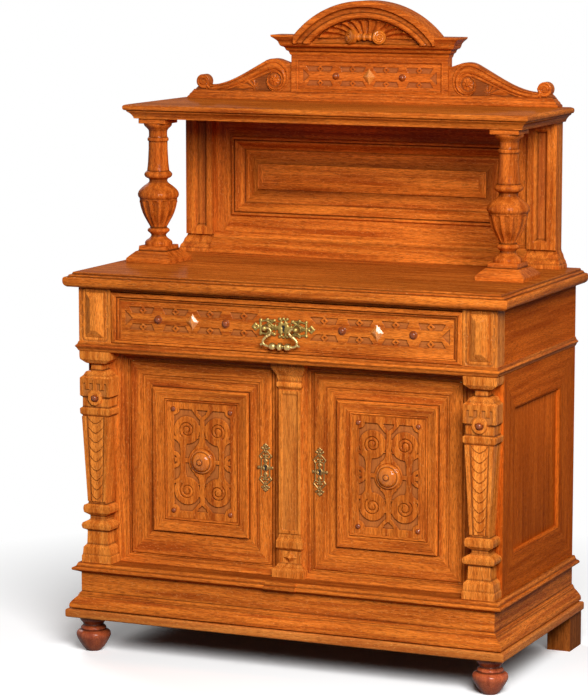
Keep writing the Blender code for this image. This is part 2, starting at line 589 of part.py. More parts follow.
def make_stiles(openings):
    """The outer stiles beside the doors and the centre stile with its pilaster."""
    z = (Z_FLOOR + GAP, Z_WAIST)
    for label, side in SIDES.items():
        x = mirrored((OPENING_OUT - TRIM, INSIDE - GAP), side)
        stile = box(label + "_front_stile", x, (CARCASS_Y + GAP, CARCASS_Y + FRAME_DEPTH), z, OAK)
        cut(stile, openings[label])
        centre = side * (HALF - PILASTER_WIDTH / 2)
        loops = []
        for width, up in PILASTER_PROFILE:
            half = width * PILASTER_WIDTH / 2
            front = FACE_Y + (1 - width) * PILASTER_SETBACK
            loops.append(level((centre - half, centre + half), (front, CARCASS_Y), z[0] + up * (z[1] - z[0])))
        loft(label + "_corner_pilaster", loops, OAK)

    half = OPENING_IN + TRIM
    y = (CARCASS_Y + CENTRE_STILE_SETBACK, CARCASS_Y + FRAME_DEPTH)
    stile = box("centre_stile", (-half, half), y, z, OAK)
    cut(stile, *openings.values())
    loops = []
    for width, up in CENTRE_PILASTER_PROFILE:
        half = width * CENTRE_PILASTER_WIDTH / 2
        front = FACE_Y + CENTRE_PILASTER_FRONT + (1 - width) * CENTRE_PILASTER_SETBACK
        loops.append(level((-half, half), (front, y[0] + SPLAY_DEPTH), z[0] + up * (z[1] - z[0])))
    join(stile, loft("centre_pilaster_form", loops))
    for label, side in SIDES.items():
        bolt_y = lock_bolt_span()
        mortise = box(
            label + "_mortise_cutter",
            mirrored((OPENING_IN - MORTISE_DEPTH, OPENING_IN + MORTISE_DEPTH), side),
            inset(bolt_y, -MORTISE_GAP),
            inset((DOOR_MIDDLE - BOLT_WIDTH / 2, DOOR_MIDDLE + BOLT_WIDTH / 2), -MORTISE_GAP),
        )
        cut(stile, mortise)


def lock_bolt_span():
    """Front and back of a door bolt, in the middle of its case."""
    middle = DOOR_Y + DOOR_THICKNESS + GAP + LOCK_THICKNESS / 2
    return middle - BOLT_THICKNESS / 2, middle + BOLT_THICKNESS / 2


def keyhole(radius):
    """A round keyhole with a slot under it."""
    ring = [(radius * math.cos(a), radius * math.sin(a)) for a in (math.radians(-50 + 280 * i / 10) for i in range(11))]
    return ring + [(-0.55 * radius, -2.6 * radius), (0.55 * radius, -2.6 * radius)]


def symmetric(outline, half_width, half_length, upright_plate):
    """A full outline from a quarter of it."""
    quarter = [(a * half_width, b * half_length) for a, b in outline]
    half = quarter + [(a, -b) for a, b in reversed(quarter[:-1])]
    full = half + [(-a, b) for a, b in reversed(half) if a > 0]
    return full if upright_plate else [(b, a) for a, b in full]


def rounded_slot(cx, cz, half_x, half_z):
    """A small oval piercing."""
    return [(cx + half_x * math.cos(a), cz + half_z * math.sin(a)) for a in (math.radians(36 * i) for i in range(10))]


def make_door(label, side, carcass_top, carcass_bottom):
    """One door: moulded frame, panel with a turned boss, escutcheon, lock, bolt and two pivots."""
    x, z = mirrored((DOOR_IN, DOOR_OUT), side), (DOOR_LOW, DOOR_HIGH)
    sunk = DOOR_FLAT + DOOR_STEP_WIDTH
    rise = sunk + DOOR_SUNK_WIDTH
    sight = rise + DOOR_MOULDING_WIDTH
    low_y, back_y = DOOR_Y + DOOR_STEP_DEPTH, DOOR_Y + DOOR_THICKNESS
    panel_y = DOOR_Y + DOOR_PANEL_DROP
    crown_y = low_y - DOOR_MOULDING_RISE
    lip_y = panel_y + DOOR_LIP
    section = [
        (0.0, back_y),
        (0.0, DOOR_Y + DOOR_EASE),
        (DOOR_EASE, DOOR_Y),
        (DOOR_FLAT, DOOR_Y),
        (DOOR_FLAT + 0.35 * DOOR_STEP_WIDTH, DOOR_Y + 0.3 * DOOR_STEP_DEPTH),
        (DOOR_FLAT + 0.7 * DOOR_STEP_WIDTH, DOOR_Y + 0.8 * DOOR_STEP_DEPTH),
        (sunk, low_y),
        (rise, low_y),
        (rise + 0.04 * DOOR_MOULDING_WIDTH, crown_y + 0.3 * DOOR_MOULDING_RISE),
        (rise + 0.22 * DOOR_MOULDING_WIDTH, crown_y),
        (rise + 0.42 * DOOR_MOULDING_WIDTH, crown_y + 0.1 * DOOR_MOULDING_RISE),
        (rise + 0.62 * DOOR_MOULDING_WIDTH, crown_y + 0.45 * DOOR_MOULDING_RISE),
        (rise + 0.92 * DOOR_MOULDING_WIDTH, panel_y - 0.1 * DOOR_MOULDING_RISE),
        (sight, panel_y),
        (sight, lip_y),
        (sight - DOOR_REBATE_WIDTH, lip_y),
        (sight - DOOR_REBATE_WIDTH, back_y),
    ]
    frame = loft(label + "_door_frame", [upright(inset(x, a), inset(z, a), y) for a, y in section], OAK, ring=True)

    edge = sight - DOOR_REBATE_WIDTH + GAP
    behind = panel_y + DOOR_PANEL_THICKNESS
    section = [(edge, behind), (edge, lip_y + GAP), (sight + GAP, lip_y + GAP), (sight + GAP, panel_y)]
    panel = loft(label + "_door_panel", [upright(inset(x, a), inset(z, a), y) for a, y in section], OAK)
    sink = DOOR_LIP / 2
    profile = sized(BOSS_PROFILE, DOOR_BOSS_RADIUS, DOOR_BOSS_HEIGHT) + [(DOOR_BOSS_RADIUS, -sink)]
    middle = (x[0] + x[1]) / 2
    join(panel, turned(label + "_boss_form", profile, (middle, panel_y, DOOR_MIDDLE), axis="-Y"))

    free, hung = side * DOOR_IN, side * DOOR_OUT
    pierced = symmetric(ESCUTCHEON_OUTLINE, ESCUTCHEON_WIDTH / 2, ESCUTCHEON_HEIGHT / 2, True)
    holes = [keyhole(0.08 * ESCUTCHEON_WIDTH)]
    for end in (-1, 1):
        holes += [
            rounded_slot(0.16 * s * ESCUTCHEON_WIDTH, 0.17 * end * ESCUTCHEON_HEIGHT, 0.07 * ESCUTCHEON_WIDTH, 0.055 * ESCUTCHEON_HEIGHT)
            for s in (-1, 1)
        ]
    escutcheon = plate(
        label + "_escutcheon",
        [pierced, *holes],
        PLATE_THICKNESS,
        (free + side * ESCUTCHEON_INSET, DOOR_Y - GAP - PLATE_THICKNESS / 2, DOOR_MIDDLE),
        BRASS,
    )

    case_x = mirrored((DOOR_IN + LOCK_EDGE, DOOR_IN + LOCK_EDGE + LOCK_WIDTH), side)
    bolt_y, bolt_z = lock_bolt_span(), (DOOR_MIDDLE - BOLT_WIDTH / 2, DOOR_MIDDLE + BOLT_WIDTH / 2)
    case = box(
        label + "_door_lock",
        case_x,
        (back_y + GAP, back_y + GAP + LOCK_THICKNESS),
        (DOOR_MIDDLE - LOCK_HEIGHT / 2, DOOR_MIDDLE + LOCK_HEIGHT / 2),
        IRON,
    )
    cut(case, box(label + "_channel_cutter", inset(case_x, -LOCK_WIDTH), inset(bolt_y, -GAP), inset(bolt_z, -GAP)))
    tip = DOOR_IN + BOLT_SHORT
    bolt = box(label + "_door_bolt", mirrored((tip, tip + BOLT_LENGTH), side), bolt_y, bolt_z, BRASS)

    pivot = hung - side * PIVOT_INSET, DOOR_Y + PIVOT_INSET
    bore = PIVOT_RADIUS + GAP
    for end, joint_z, board in (("upper", Z_RAIL, carcass_top), ("lower", Z_SILL, carcass_bottom)):
        foot = (*pivot, joint_z)
        smooth(
            turned(f"{label}_door_{end}_pivot", [(PIVOT_RADIUS, PIVOT_REACH), (PIVOT_RADIUS, -PIVOT_REACH)], foot, finish=BRASS, steps=16)
        )
        reach = PIVOT_REACH + GAP
        hole = turned(f"{label}_{end}_pivot_cutter", [(bore, reach), (bore, -reach)], foot, steps=16)
        cut(frame, hole)
        cut(board, hole)

    hinge = axis_empty(label + "_door_axis", (*pivot, DOOR_MIDDLE), frame, panel, escutcheon, case)
    axis_empty(label + "_door_bolt_axis", (side * tip, sum(bolt_y) / 2, DOOR_MIDDLE), bolt, parent=hinge)


def make_frieze():
    """Corner blocks, sides and drawer guides round the drawer."""
    z = (Z_FRIEZE + GAP, Z_TOP)
    inner = HALF - CORNER_BLOCK_WIDTH
    for label, side in SIDES.items():
        x = mirrored((inner, HALF), side)
        panel_x, panel_z = inset(x, CORNER_PANEL_INSET_X), inset(z, CORNER_PANEL_INSET_Z)
        hip = 0.42 * (panel_x[1] - panel_x[0])
        loops = [
            upright(x, z, CARCASS_Y),
            upright(x, z, FACE_Y),
            upright(panel_x, panel_z, FACE_Y),
            upright(inset(panel_x, hip), inset(panel_z, hip), FACE_Y - CORNER_PANEL_RISE),
        ]
        loft(label + "_corner_block", loops, OAK)
        box(label + "_frieze_side", mirrored((INSIDE, HALF), side), (CARCASS_Y + GAP, BACK_Y), z, OAK)
        box(
            label + "_drawer_guide",
            mirrored((inner, INSIDE - GAP), side),
            (CARCASS_Y + GAP, BACK_Y - BACK_THICKNESS - GAP),
            (z[0], z[0] + GUIDE_HEIGHT),
            INNER_OAK,
        )


def drawer_bolt_span():
    """Front and back of the drawer bolt, in the middle of its case."""
    middle = FACE_Y + DRAWER_FRONT_THICKNESS + GAP + LOCK_THICKNESS / 2
    return middle - BOLT_THICKNESS / 2, middle + BOLT_THICKNESS / 2


def make_countertop():
    """The countertop with its stepped edge, and the strip under it with the pocket for the drawer bolt."""
    z = (Z_TOP + GAP, Z_NICHE)
    top = loft("countertop", moulded(TOP_PROFILE, (-HALF, HALF), (FACE_Y, BACK_Y), z, TOP_SIDE, TOP_FRONT), OAK)
    half = HALF - CORNER_BLOCK_WIDTH - GAP
    strip_y = (FACE_Y + TOP_STRIP_SETBACK, FACE_Y + TOP_STRIP_SETBACK + TOP_STRIP_DEPTH)
    join(top, box("top_strip_form", (-half, half), strip_y, (Z_TOP - TOP_STRIP_HEIGHT, Z_TOP + TOP_THICKNESS / 3)))
    pocket = box(
        "pocket_cutter",
        inset((-BOLT_WIDTH / 2, BOLT_WIDTH / 2), -MORTISE_GAP),
        inset(drawer_bolt_span(), -MORTISE_GAP),
        (Z_TOP - 2 * TOP_STRIP_HEIGHT, Z_TOP - TOP_STRIP_HEIGHT + BOLT_THROW + MORTISE_GAP),
    )
    return cut(top, pocket)


def make_drawer():
    """The frieze drawer with its lock and its brass pull."""
    half = HALF - CORNER_BLOCK_WIDTH - DRAWER_GAP
    z = (Z_FRIEZE + DRAWER_GAP, Z_TOP - TOP_STRIP_HEIGHT - DRAWER_GAP)
    x = (-half, half)
    back = FACE_Y + DRAWER_FRONT_THICKNESS
    loops = [upright(x, z, back)]
    for edge, drop in ((0.0, 0.30), (0.10, 0.04), (0.36, 0.0), (0.50, 0.14), (0.62, 0.50), (0.74, 0.56), (1.0, 1.0)):
        shrunk = inset(x, edge * DRAWER_EDGE_SIDE), inset(z, edge * DRAWER_EDGE_BOTTOM, edge * DRAWER_EDGE_TOP)
        loops.append(upright(*shrunk, FACE_Y + drop * DRAWER_FIELD_DEPTH))
    pieces = [loft("drawer_front", loops, OAK)]

    outer = HALF - CORNER_BLOCK_WIDTH - DRAWER_SIDE_GAP
    inner = outer - DRAWER_WALL
    floor = Z_FRIEZE + 2 * GAP
    long_y = (back + GAP, back + GAP + DRAWER_DEPTH)
    for label, side in SIDES.items():
        pieces.append(
            box(f"drawer_{label}_side", mirrored((inner, outer), side), long_y, (floor, floor + DRAWER_SIDE_HEIGHT), INNER_OAK)
        )
    between = (-inner + GAP, inner - GAP)
    rear_y = (long_y[1] - DRAWER_WALL, long_y[1])
    pieces.append(box("drawer_back", between, rear_y, (floor, floor + DRAWER_SIDE_HEIGHT), INNER_OAK))
    base = floor + DRAWER_BOTTOM_RISE
    pieces.append(
        box("drawer_bottom", between, (long_y[0], rear_y[0] - GAP), (base, base + DRAWER_BOTTOM_THICKNESS), INNER_OAK)
    )

    bolt_top = z[1] - BOLT_SHORT
    bolt_x, bolt_y = (-BOLT_WIDTH / 2, BOLT_WIDTH / 2), drawer_bolt_span()
    case_z = (z[1] - LOCK_EDGE - LOCK_WIDTH, z[1] - LOCK_EDGE)
    case = box("drawer_lock", (-LOCK_HEIGHT / 2, LOCK_HEIGHT / 2), (back + GAP, back + GAP + LOCK_THICKNESS), case_z, IRON)
    cut(case, box("drawer_channel_cutter", inset(bolt_x, -GAP), inset(bolt_y, -GAP), inset(case_z, -LOCK_WIDTH)))
    bolt = box("drawer_bolt", bolt_x, bolt_y, (bolt_top - BOLT_LENGTH, bolt_top), BRASS)
    pieces.append(case)

    field = FACE_Y + DRAWER_FIELD_DEPTH
    plate_face = field - GAP - PLATE_THICKNESS
    axis = (0.0, plate_face - POST_REACH, Z_FRIEZE + PULL_HEIGHT)
    pieces.append(make_backplate(plate_face, axis))
    bail = make_bail(axis)

    slide = axis_empty("drawer_axis", (0.0, FACE_Y, (z[0] + z[1]) / 2), *pieces)
    axis_empty("drawer_bolt_axis", (0.0, sum(bolt_y) / 2, bolt_top), bolt, parent=slide)
    axis_empty("bail_axis", axis, bail, parent=slide)


def make_backplate(face, axis):
    """The pierced plate of the pull with its two bored posts."""
    outline = symmetric(BACKPLATE_OUTLINE, BACKPLATE_HEIGHT / 2, BACKPLATE_WIDTH / 2, False)
    holes = [keyhole(0.075 * BACKPLATE_HEIGHT)]
    for s in (-1, 1):
        for end in (-1, 1):
            holes.append(
                rounded_slot(0.36 * s * BACKPLATE_WIDTH, 0.13 * end * BACKPLATE_HEIGHT, 0.04 * BACKPLATE_WIDTH, 0.07 * BACKPLATE_HEIGHT)
            )
    obj = plate("drawer_backplate", [outline, *holes], PLATE_THICKNESS, (0.0, face + PLATE_THICKNESS / 2, axis[2]))
    obj = to_mesh(obj, BRASS)
    ball = [(POST_BALL * math.sin(a), POST_REACH + POST_BALL * math.cos(a)) for a in (math.radians(12 + 18 * i) for i in range(8))]
    waist = math.sqrt(POST_BALL**2 - POST_NECK**2)
    profile = [point for point in ball if point[1] > POST_REACH - waist]
    profile += [(POST_NECK, POST_REACH - waist), (POST_NECK, -PLATE_THICKNESS / 2)]
    for label, side in SIDES.items():
        join(obj, turned(label + "_post_form", profile, (side * POST_SPACING / 2, face, axis[2]), axis="-Y", steps=16))
    radius, reach = BAIL_RADIUS + GAP, POST_SPACING / 2 + GAP
    inner = POST_SPACING / 2 - 2 * POST_BALL
    for label, side in SIDES.items():
        low, high = sorted((side * inner, side * reach))
        cut(obj, turned(label + "_ear_cutter", [(radius, high), (radius, low)], (0.0, axis[1], axis[2]), axis="X", steps=12))
    return obj


def make_bail(axis):
    """The hanging handle: a bent rod whose ends turn in the posts, with a turned grip."""
    pin = POST_SPACING / 2
    half = [(pin, 0.0), (pin - POST_BALL - 0.7 * BAIL_RADIUS, 0.0), *sized(BAIL_OUTLINE, BAIL_SPREAD, -BAIL_DROP)]
    path = [(-a, b) for a, b in half] + [(a, b) for a, b in reversed(half)]
    curve = bpy.data.curves.new("drawer_bail", "CURVE")
    curve.dimensions = "3D"
    curve.bevel_depth = BAIL_RADIUS
    curve.bevel_resolution = 2
    curve.use_fill_caps = True
    spline = curve.splines.new("POLY")
    spline.points.add(len(path) - 1)
    for point, (x, z) in zip(spline.points, path):
        point.co = (x, 0.0, z, 1.0)
    bail = to_mesh(place("drawer_bail", curve, None, axis), BRASS)
    profile = [(r * GRIP_RADIUS, (h - 0.5) * GRIP_LENGTH) for r, h in GRIP_PROFILE]
    grip = turned("grip_form", profile, (0.0, axis[1], axis[2] - BAIL_DROP), axis="X", steps=16)
    return smooth(join(bail, grip))


def make_columns():
    """Turned columns on stepped square bases, under square abaci."""
    steps = [(1.0, 0.0), (1.0, 0.26), (0.94, 0.34), (0.86, 0.46), (0.74, 0.62), (0.70, 0.68), (0.62, 0.70), (0.60, 1.0)]
    y = BACK_Y - SHELF_DEPTH + COLUMN_SETBACK
    low, high = Z_NICHE + GAP, Z_SHELF
    base_top, cap_foot = low + COLUMN_BASE_HEIGHT, high - ABACUS_HEIGHT
    for label, side in SIDES.items():
        x = side * COLUMN_SPACING / 2
        loops = []
        for width, up in steps:
            half = width * COLUMN_BASE_WIDTH / 2
            loops.append(level((x - half, x + half), (y - half, y + half), low + up * COLUMN_BASE_HEIGHT))
        column = loft(label + "_column", loops, OAK)
        body = sized(COLUMN_PROFILE, COLUMN_RADIUS, cap_foot - base_top)
        lap = ABACUS_HEIGHT / 2
        profile = [(body[0][0], body[0][1] + lap), *body, (body[-1][0], -lap)]
        half = ABACUS_WIDTH / 2
        cap = box(label + "_abacus_form", (x - half, x + half), (y - half, y + half), (cap_foot, high))
        join(column, turned(label + "_shaft_form", profile, (x, y, base_top)), cap)


def make_niche_back():
    """Rear posts and the framed panel between them."""
    z = (Z_NICHE + GAP, Z_SHELF)
    span = z[1] - z[0]
    inner = POST_OUTER - POST_WIDTH
    for label, side in SIDES.items():
        loops = []
        for out, up in [(o, u * POST_FOOT_HEIGHT / span) for o, u in POST_FOOT_PROFILE] + [(0.0, 1.0)]:
            x = mirrored((inner, POST_OUTER + out * POST_FLARE), side)
            loops.append(level(x, (BACK_Y - POST_DEPTH - out * POST_FLARE, BACK_Y), z[0] + up * span))
        loft(label + "_upper_post", loops, OAK)

    x = (-inner + GAP, inner - GAP)
    front = BACK_Y - UPPER_FRAME_DEPTH
    wide = UPPER_MOULDING_WIDTH
    panel_y = front + UPPER_MOULDING_RISE
    lip_y = panel_y + UPPER_LIP

    def ring(extra, y):
        return upright(inset(x, UPPER_EDGE_SIDE + extra), inset(z, UPPER_EDGE_BOTTOM + extra, UPPER_EDGE_TOP + extra), y)

    loops = [
        upright(x, z, BACK_Y),
        upright(x, z, front),
        ring(0.0, front),
        ring(0.06 * wide, front - 0.7 * UPPER_MOULDING_RISE),
        ring(0.24 * wide, front - UPPER_MOULDING_RISE),
        ring(0.46 * wide, front - 0.6 * UPPER_MOULDING_RISE),
        ring(0.70 * wide, front + 0.4 * UPPER_MOULDING_RISE),
        ring(wide, panel_y),
        ring(wide, lip_y),
        ring(wide - UPPER_REBATE_WIDTH, lip_y),
        ring(wide - UPPER_REBATE_WIDTH, BACK_Y),
    ]
    frame = loft("upper_back_frame", loops, OAK, ring=True)
    skirting_z = (z[0], z[0] + SKIRTING_HEIGHT)
    skirting = moulded(SKIRTING_PROFILE, x, (front, BACK_Y - UPPER_FRAME_DEPTH / 2), skirting_z, 0.0, SKIRTING_OUT)
    join(frame, loft("skirting_form", skirting))

    edge = wide - UPPER_REBATE_WIDTH + GAP
    behind = min(lip_y + GAP + UPPER_PANEL_THICKNESS, BACK_Y)
    raised = panel_y - UPPER_FIELD_RISE
    loops = [
        ring(edge, behind),
        ring(edge, lip_y + GAP),
        ring(wide + GAP, lip_y + GAP),
        ring(wide + GAP, panel_y),
        ring(wide + UPPER_FIELD_MARGIN, panel_y),
        ring(wide + UPPER_FIELD_MARGIN, panel_y - 0.3 * UPPER_FIELD_RISE),
        ring(wide + UPPER_FIELD_MARGIN + UPPER_FIELD_BEVEL, raised),
    ]
    loft("upper_back_panel", loops, OAK)


def make_top_shelf():
    """The shelf over the niche, with a stepped edge."""
    half = SHELF_WIDTH / 2 - SHELF_EDGE
    y = (BACK_Y - SHELF_DEPTH + SHELF_EDGE, BACK_Y)
    loft("top_shelf", moulded(SHELF_PROFILE, (-half, half), y, (Z_SHELF + GAP, Z_CREST), SHELF_EDGE, SHELF_EDGE), OAK)


def make_crest():
    """The crest: tablet with base and cornice, arched pediment and two scrolled wings."""
    half, base = TABLET_WIDTH / 2, CREST_BASE_WIDTH / 2
    base_y, tablet_y = (BACK_Y - CREST_BASE_DEPTH, BACK_Y), (BACK_Y - TABLET_DEPTH, BACK_Y - GAP)
    base_z = (Z_CREST + GAP, Z_TABLET)
    tablet = loft("crest_tablet", moulded(CREST_BASE_PROFILE, (-base, base), base_y, base_z, CREST_BASE_SIDE, CREST_BASE_FRONT), OAK)
    loops = [level((-half, half), tablet_y, sum(base_z) / 2)]
    loops += moulded(CORNICE_PROFILE, (-half, half), tablet_y, (Z_CORNICE, Z_ARCH), CORNICE_OUT, CORNICE_FRONT)
    join(tablet, loft("tablet_form", loops))
    chord = ARCH_WIDTH / 2
    foot = Z_ARCH - ARCH_SEAT
    seat_y = (tablet_y[0] - 2 * CORNICE_FRONT, BACK_Y + CORNICE_FRONT)
    cut(tablet, box("arch_seat_cutter", (-chord - GAP, chord + GAP), seat_y, (foot - GAP, Z_ARCH + ARCH_SEAT)))

    radius = (chord**2 + ARCH_RISE**2) / (2 * ARCH_RISE)
    centre = Z_ARCH + ARCH_RISE - radius
    face = BACK_Y - ARCH_DEPTH
    mouldings = [(0.0, 0.44), (0.08, 0.0), (0.30, 0.0), (0.36, 0.67), (0.62, 1.0), (0.70, 0.56), (0.92, 0.78)]
    section = [(0.0, ARCH_DEPTH), *sized(mouldings, 1.0, ARCHIVOLT_RELIEF), (1.0, TYMPANUM_DROP), (1.0, ARCH_DEPTH)]

    def bow(r, low):
        spread = min(math.acos((foot + ARCH_SEAT / 6 - centre) / r), math.asin(min(1.0, chord / r)))
        arc = [(r * math.sin(a), centre + r * math.cos(a)) for a in (spread * (2 * i / 20 - 1) for i in range(21))]
        return [(arc[0][0], low), *arc, (arc[-1][0], low)]

    bows = [[(px, face + drop, pz) for px, pz in bow(radius - share * ARCHIVOLT_WIDTH, foot)] for share, drop in section]
    arch = loft("crest_arch", list(zip(*bows)), OAK)
    field = bow(radius - ARCHIVOLT_WIDTH / 2, foot + GAP)
    join(arch, loft("tympanum_form", [[(px, py, pz) for px, pz in field] for py in (face + TYMPANUM_DROP, BACK_Y - GAP)]))

    for label, side in SIDES.items():
        outline = [(side * u, v) for u, v in wing_outline()]
        location = (side * (half + GAP), BACK_Y - WING_DEPTH / 2, Z_TABLET + GAP)
        plate(label + "_crest_wing", [outline], WING_DEPTH, location, OAK)


def wing_outline():
    """The scrolled edge of a wing: a large volute, a falling curve and a small curl at the end."""
    first, last = math.radians(112), math.radians(62)
    points = [(0.0, 0.0), (0.0, WING_ROOT)]
    for i in range(9):
        a = first + (last - first) * i / 8
        points.append((VOLUTE_X + VOLUTE_RADIUS * math.cos(a), VOLUTE_Z + VOLUTE_RADIUS * math.sin(a)))
    start = Vector(points[-1])
    meet = math.radians(205)
    end = Vector((CURL_X + CURL_RADIUS * math.cos(meet), CURL_Z + CURL_RADIUS * math.sin(meet)))
    reach = end.x - start.x
    control = [start, start + Vector((math.sin(last), -math.cos(last))) * 0.42 * reach, end - Vector((0.34 * reach, 0.0)), end]
    for i in range(1, 12):
        t = i / 12
        weights = (1 - t) ** 3, 3 * t * (1 - t) ** 2, 3 * t * t * (1 - t), t**3
        point = sum((w * c for w, c in zip(weights, control)), Vector((0.0, 0.0)))
        points.append((point.x, point.y))
    for i in range(13):
        a = meet + (math.radians(-40) - meet) * i / 12
        points.append((CURL_X + CURL_RADIUS * math.cos(a), CURL_Z + CURL_RADIUS * math.sin(a)))
    points.append((WING_LENGTH, 0.0))
    return points


def main():
    """Builds the cabinet from the floor up."""
    make_feet()
    make_plinth()
    openings = {label: opening_cutter(label, side) for label, side in SIDES.items()}
    bottom = make_bottom_board(openings)
    waist = make_waist_board(openings)
    make_carcass_sides()
    make_stiles(openings)
    for label, side in SIDES.items():
        make_door(label, side, waist, bottom)
    make_frieze()
    make_countertop()
    make_drawer()
    make_columns()
    make_niche_back()
    make_top_shelf()
    make_crest()


main()
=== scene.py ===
"""Looks of a carved oak buffet cabinet.

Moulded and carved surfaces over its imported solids, their finishes, and a plain studio.
"""

import itertools
import json
import logging
import math
from collections.abc import Callable, Sequence
from dataclasses import dataclass, field
from enum import Enum
from typing import Any, ClassVar

import bmesh
import bpy
import numpy as np
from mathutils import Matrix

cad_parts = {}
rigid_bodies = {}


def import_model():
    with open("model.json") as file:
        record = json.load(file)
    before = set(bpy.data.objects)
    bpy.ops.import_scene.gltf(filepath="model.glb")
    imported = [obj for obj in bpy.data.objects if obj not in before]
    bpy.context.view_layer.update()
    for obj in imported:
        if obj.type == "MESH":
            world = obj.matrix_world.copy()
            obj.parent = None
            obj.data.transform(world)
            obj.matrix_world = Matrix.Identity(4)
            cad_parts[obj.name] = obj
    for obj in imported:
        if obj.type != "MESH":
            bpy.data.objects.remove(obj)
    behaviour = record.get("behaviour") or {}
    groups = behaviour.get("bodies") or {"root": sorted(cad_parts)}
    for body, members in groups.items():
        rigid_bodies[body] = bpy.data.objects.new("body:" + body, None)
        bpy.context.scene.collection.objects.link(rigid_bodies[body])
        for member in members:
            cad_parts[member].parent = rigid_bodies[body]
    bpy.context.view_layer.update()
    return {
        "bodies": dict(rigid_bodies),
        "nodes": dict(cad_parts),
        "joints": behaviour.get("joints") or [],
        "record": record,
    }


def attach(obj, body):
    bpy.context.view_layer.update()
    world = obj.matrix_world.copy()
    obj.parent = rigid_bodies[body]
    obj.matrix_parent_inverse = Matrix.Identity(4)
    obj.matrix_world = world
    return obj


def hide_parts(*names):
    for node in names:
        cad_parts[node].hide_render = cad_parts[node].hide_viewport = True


LOG = logging.getLogger("buffet")

Array = np.ndarray
Span = tuple[float, float]
Outline = Sequence[tuple[float, float]]
Place = tuple[float, float, float]
Colour = tuple[float, float, float, float]
Carver = Callable[[Array, Array], tuple[Array, Array]]
Distance = Callable[[Array, Array], Array]
Relief = Callable[[Array, Array, Array], Array]
Tree = bpy.types.NodeTree
Socket = bpy.types.NodeSocket

# Hair's breadth that keeps neighbouring surfaces apart, in metres.
GAP = 0.0003
# Points that agree to this many decimals of a metre are one point.
WELD_DECIMALS = 6
# Edges that bend more than this stay sharp.
SHARP_EDGE = math.radians(34)
# Each board's fibres start at a place of their own: the reach times the sine of its number times these steps.
BOARD_STEPS = (12.9, 78.2, 37.7)
BOARD_REACH = 3.0
# Points in each turn of a spiral.
SPIRAL_STEPS = 26
# Left and right of the cabinet as signs of x.
SIDES = {"left": -1, "right": 1}


class Grain(Enum):
    """Which way a member's fibres run: its axes in the order along, across, through."""

    WIDTH = (0, 2, 1)
    HEIGHT = (2, 0, 1)
    DEPTH = (1, 2, 0)

    @property
    def code(self) -> int:
        """Place of this direction in the list of directions."""
        return list(Grain).index(self)


# Fibre directions of a mitred frame's bottom, right, top and left members.
MITRED = (Grain.WIDTH, Grain.HEIGHT, Grain.WIDTH, Grain.HEIGHT)


class Facing(Enum):
    """Where the axis of a turned piece points: its three axes as (first radius, second radius, height)."""

    UP = ((1, 0, 0), (0, 1, 0), (0, 0, 1))
    FRONT = ((1, 0, 0), (0, 0, 1), (0, -1, 0))
    ACROSS = ((0, 1, 0), (0, 0, 1), (1, 0, 0))


class Slot(Enum):
    """The finishes that the cabinet's record names."""

    OAK = "oak"
    INNER = "inner_oak"
    STAINED = "stained_oak"
    BRASS = "brass"
    IRON = "iron"


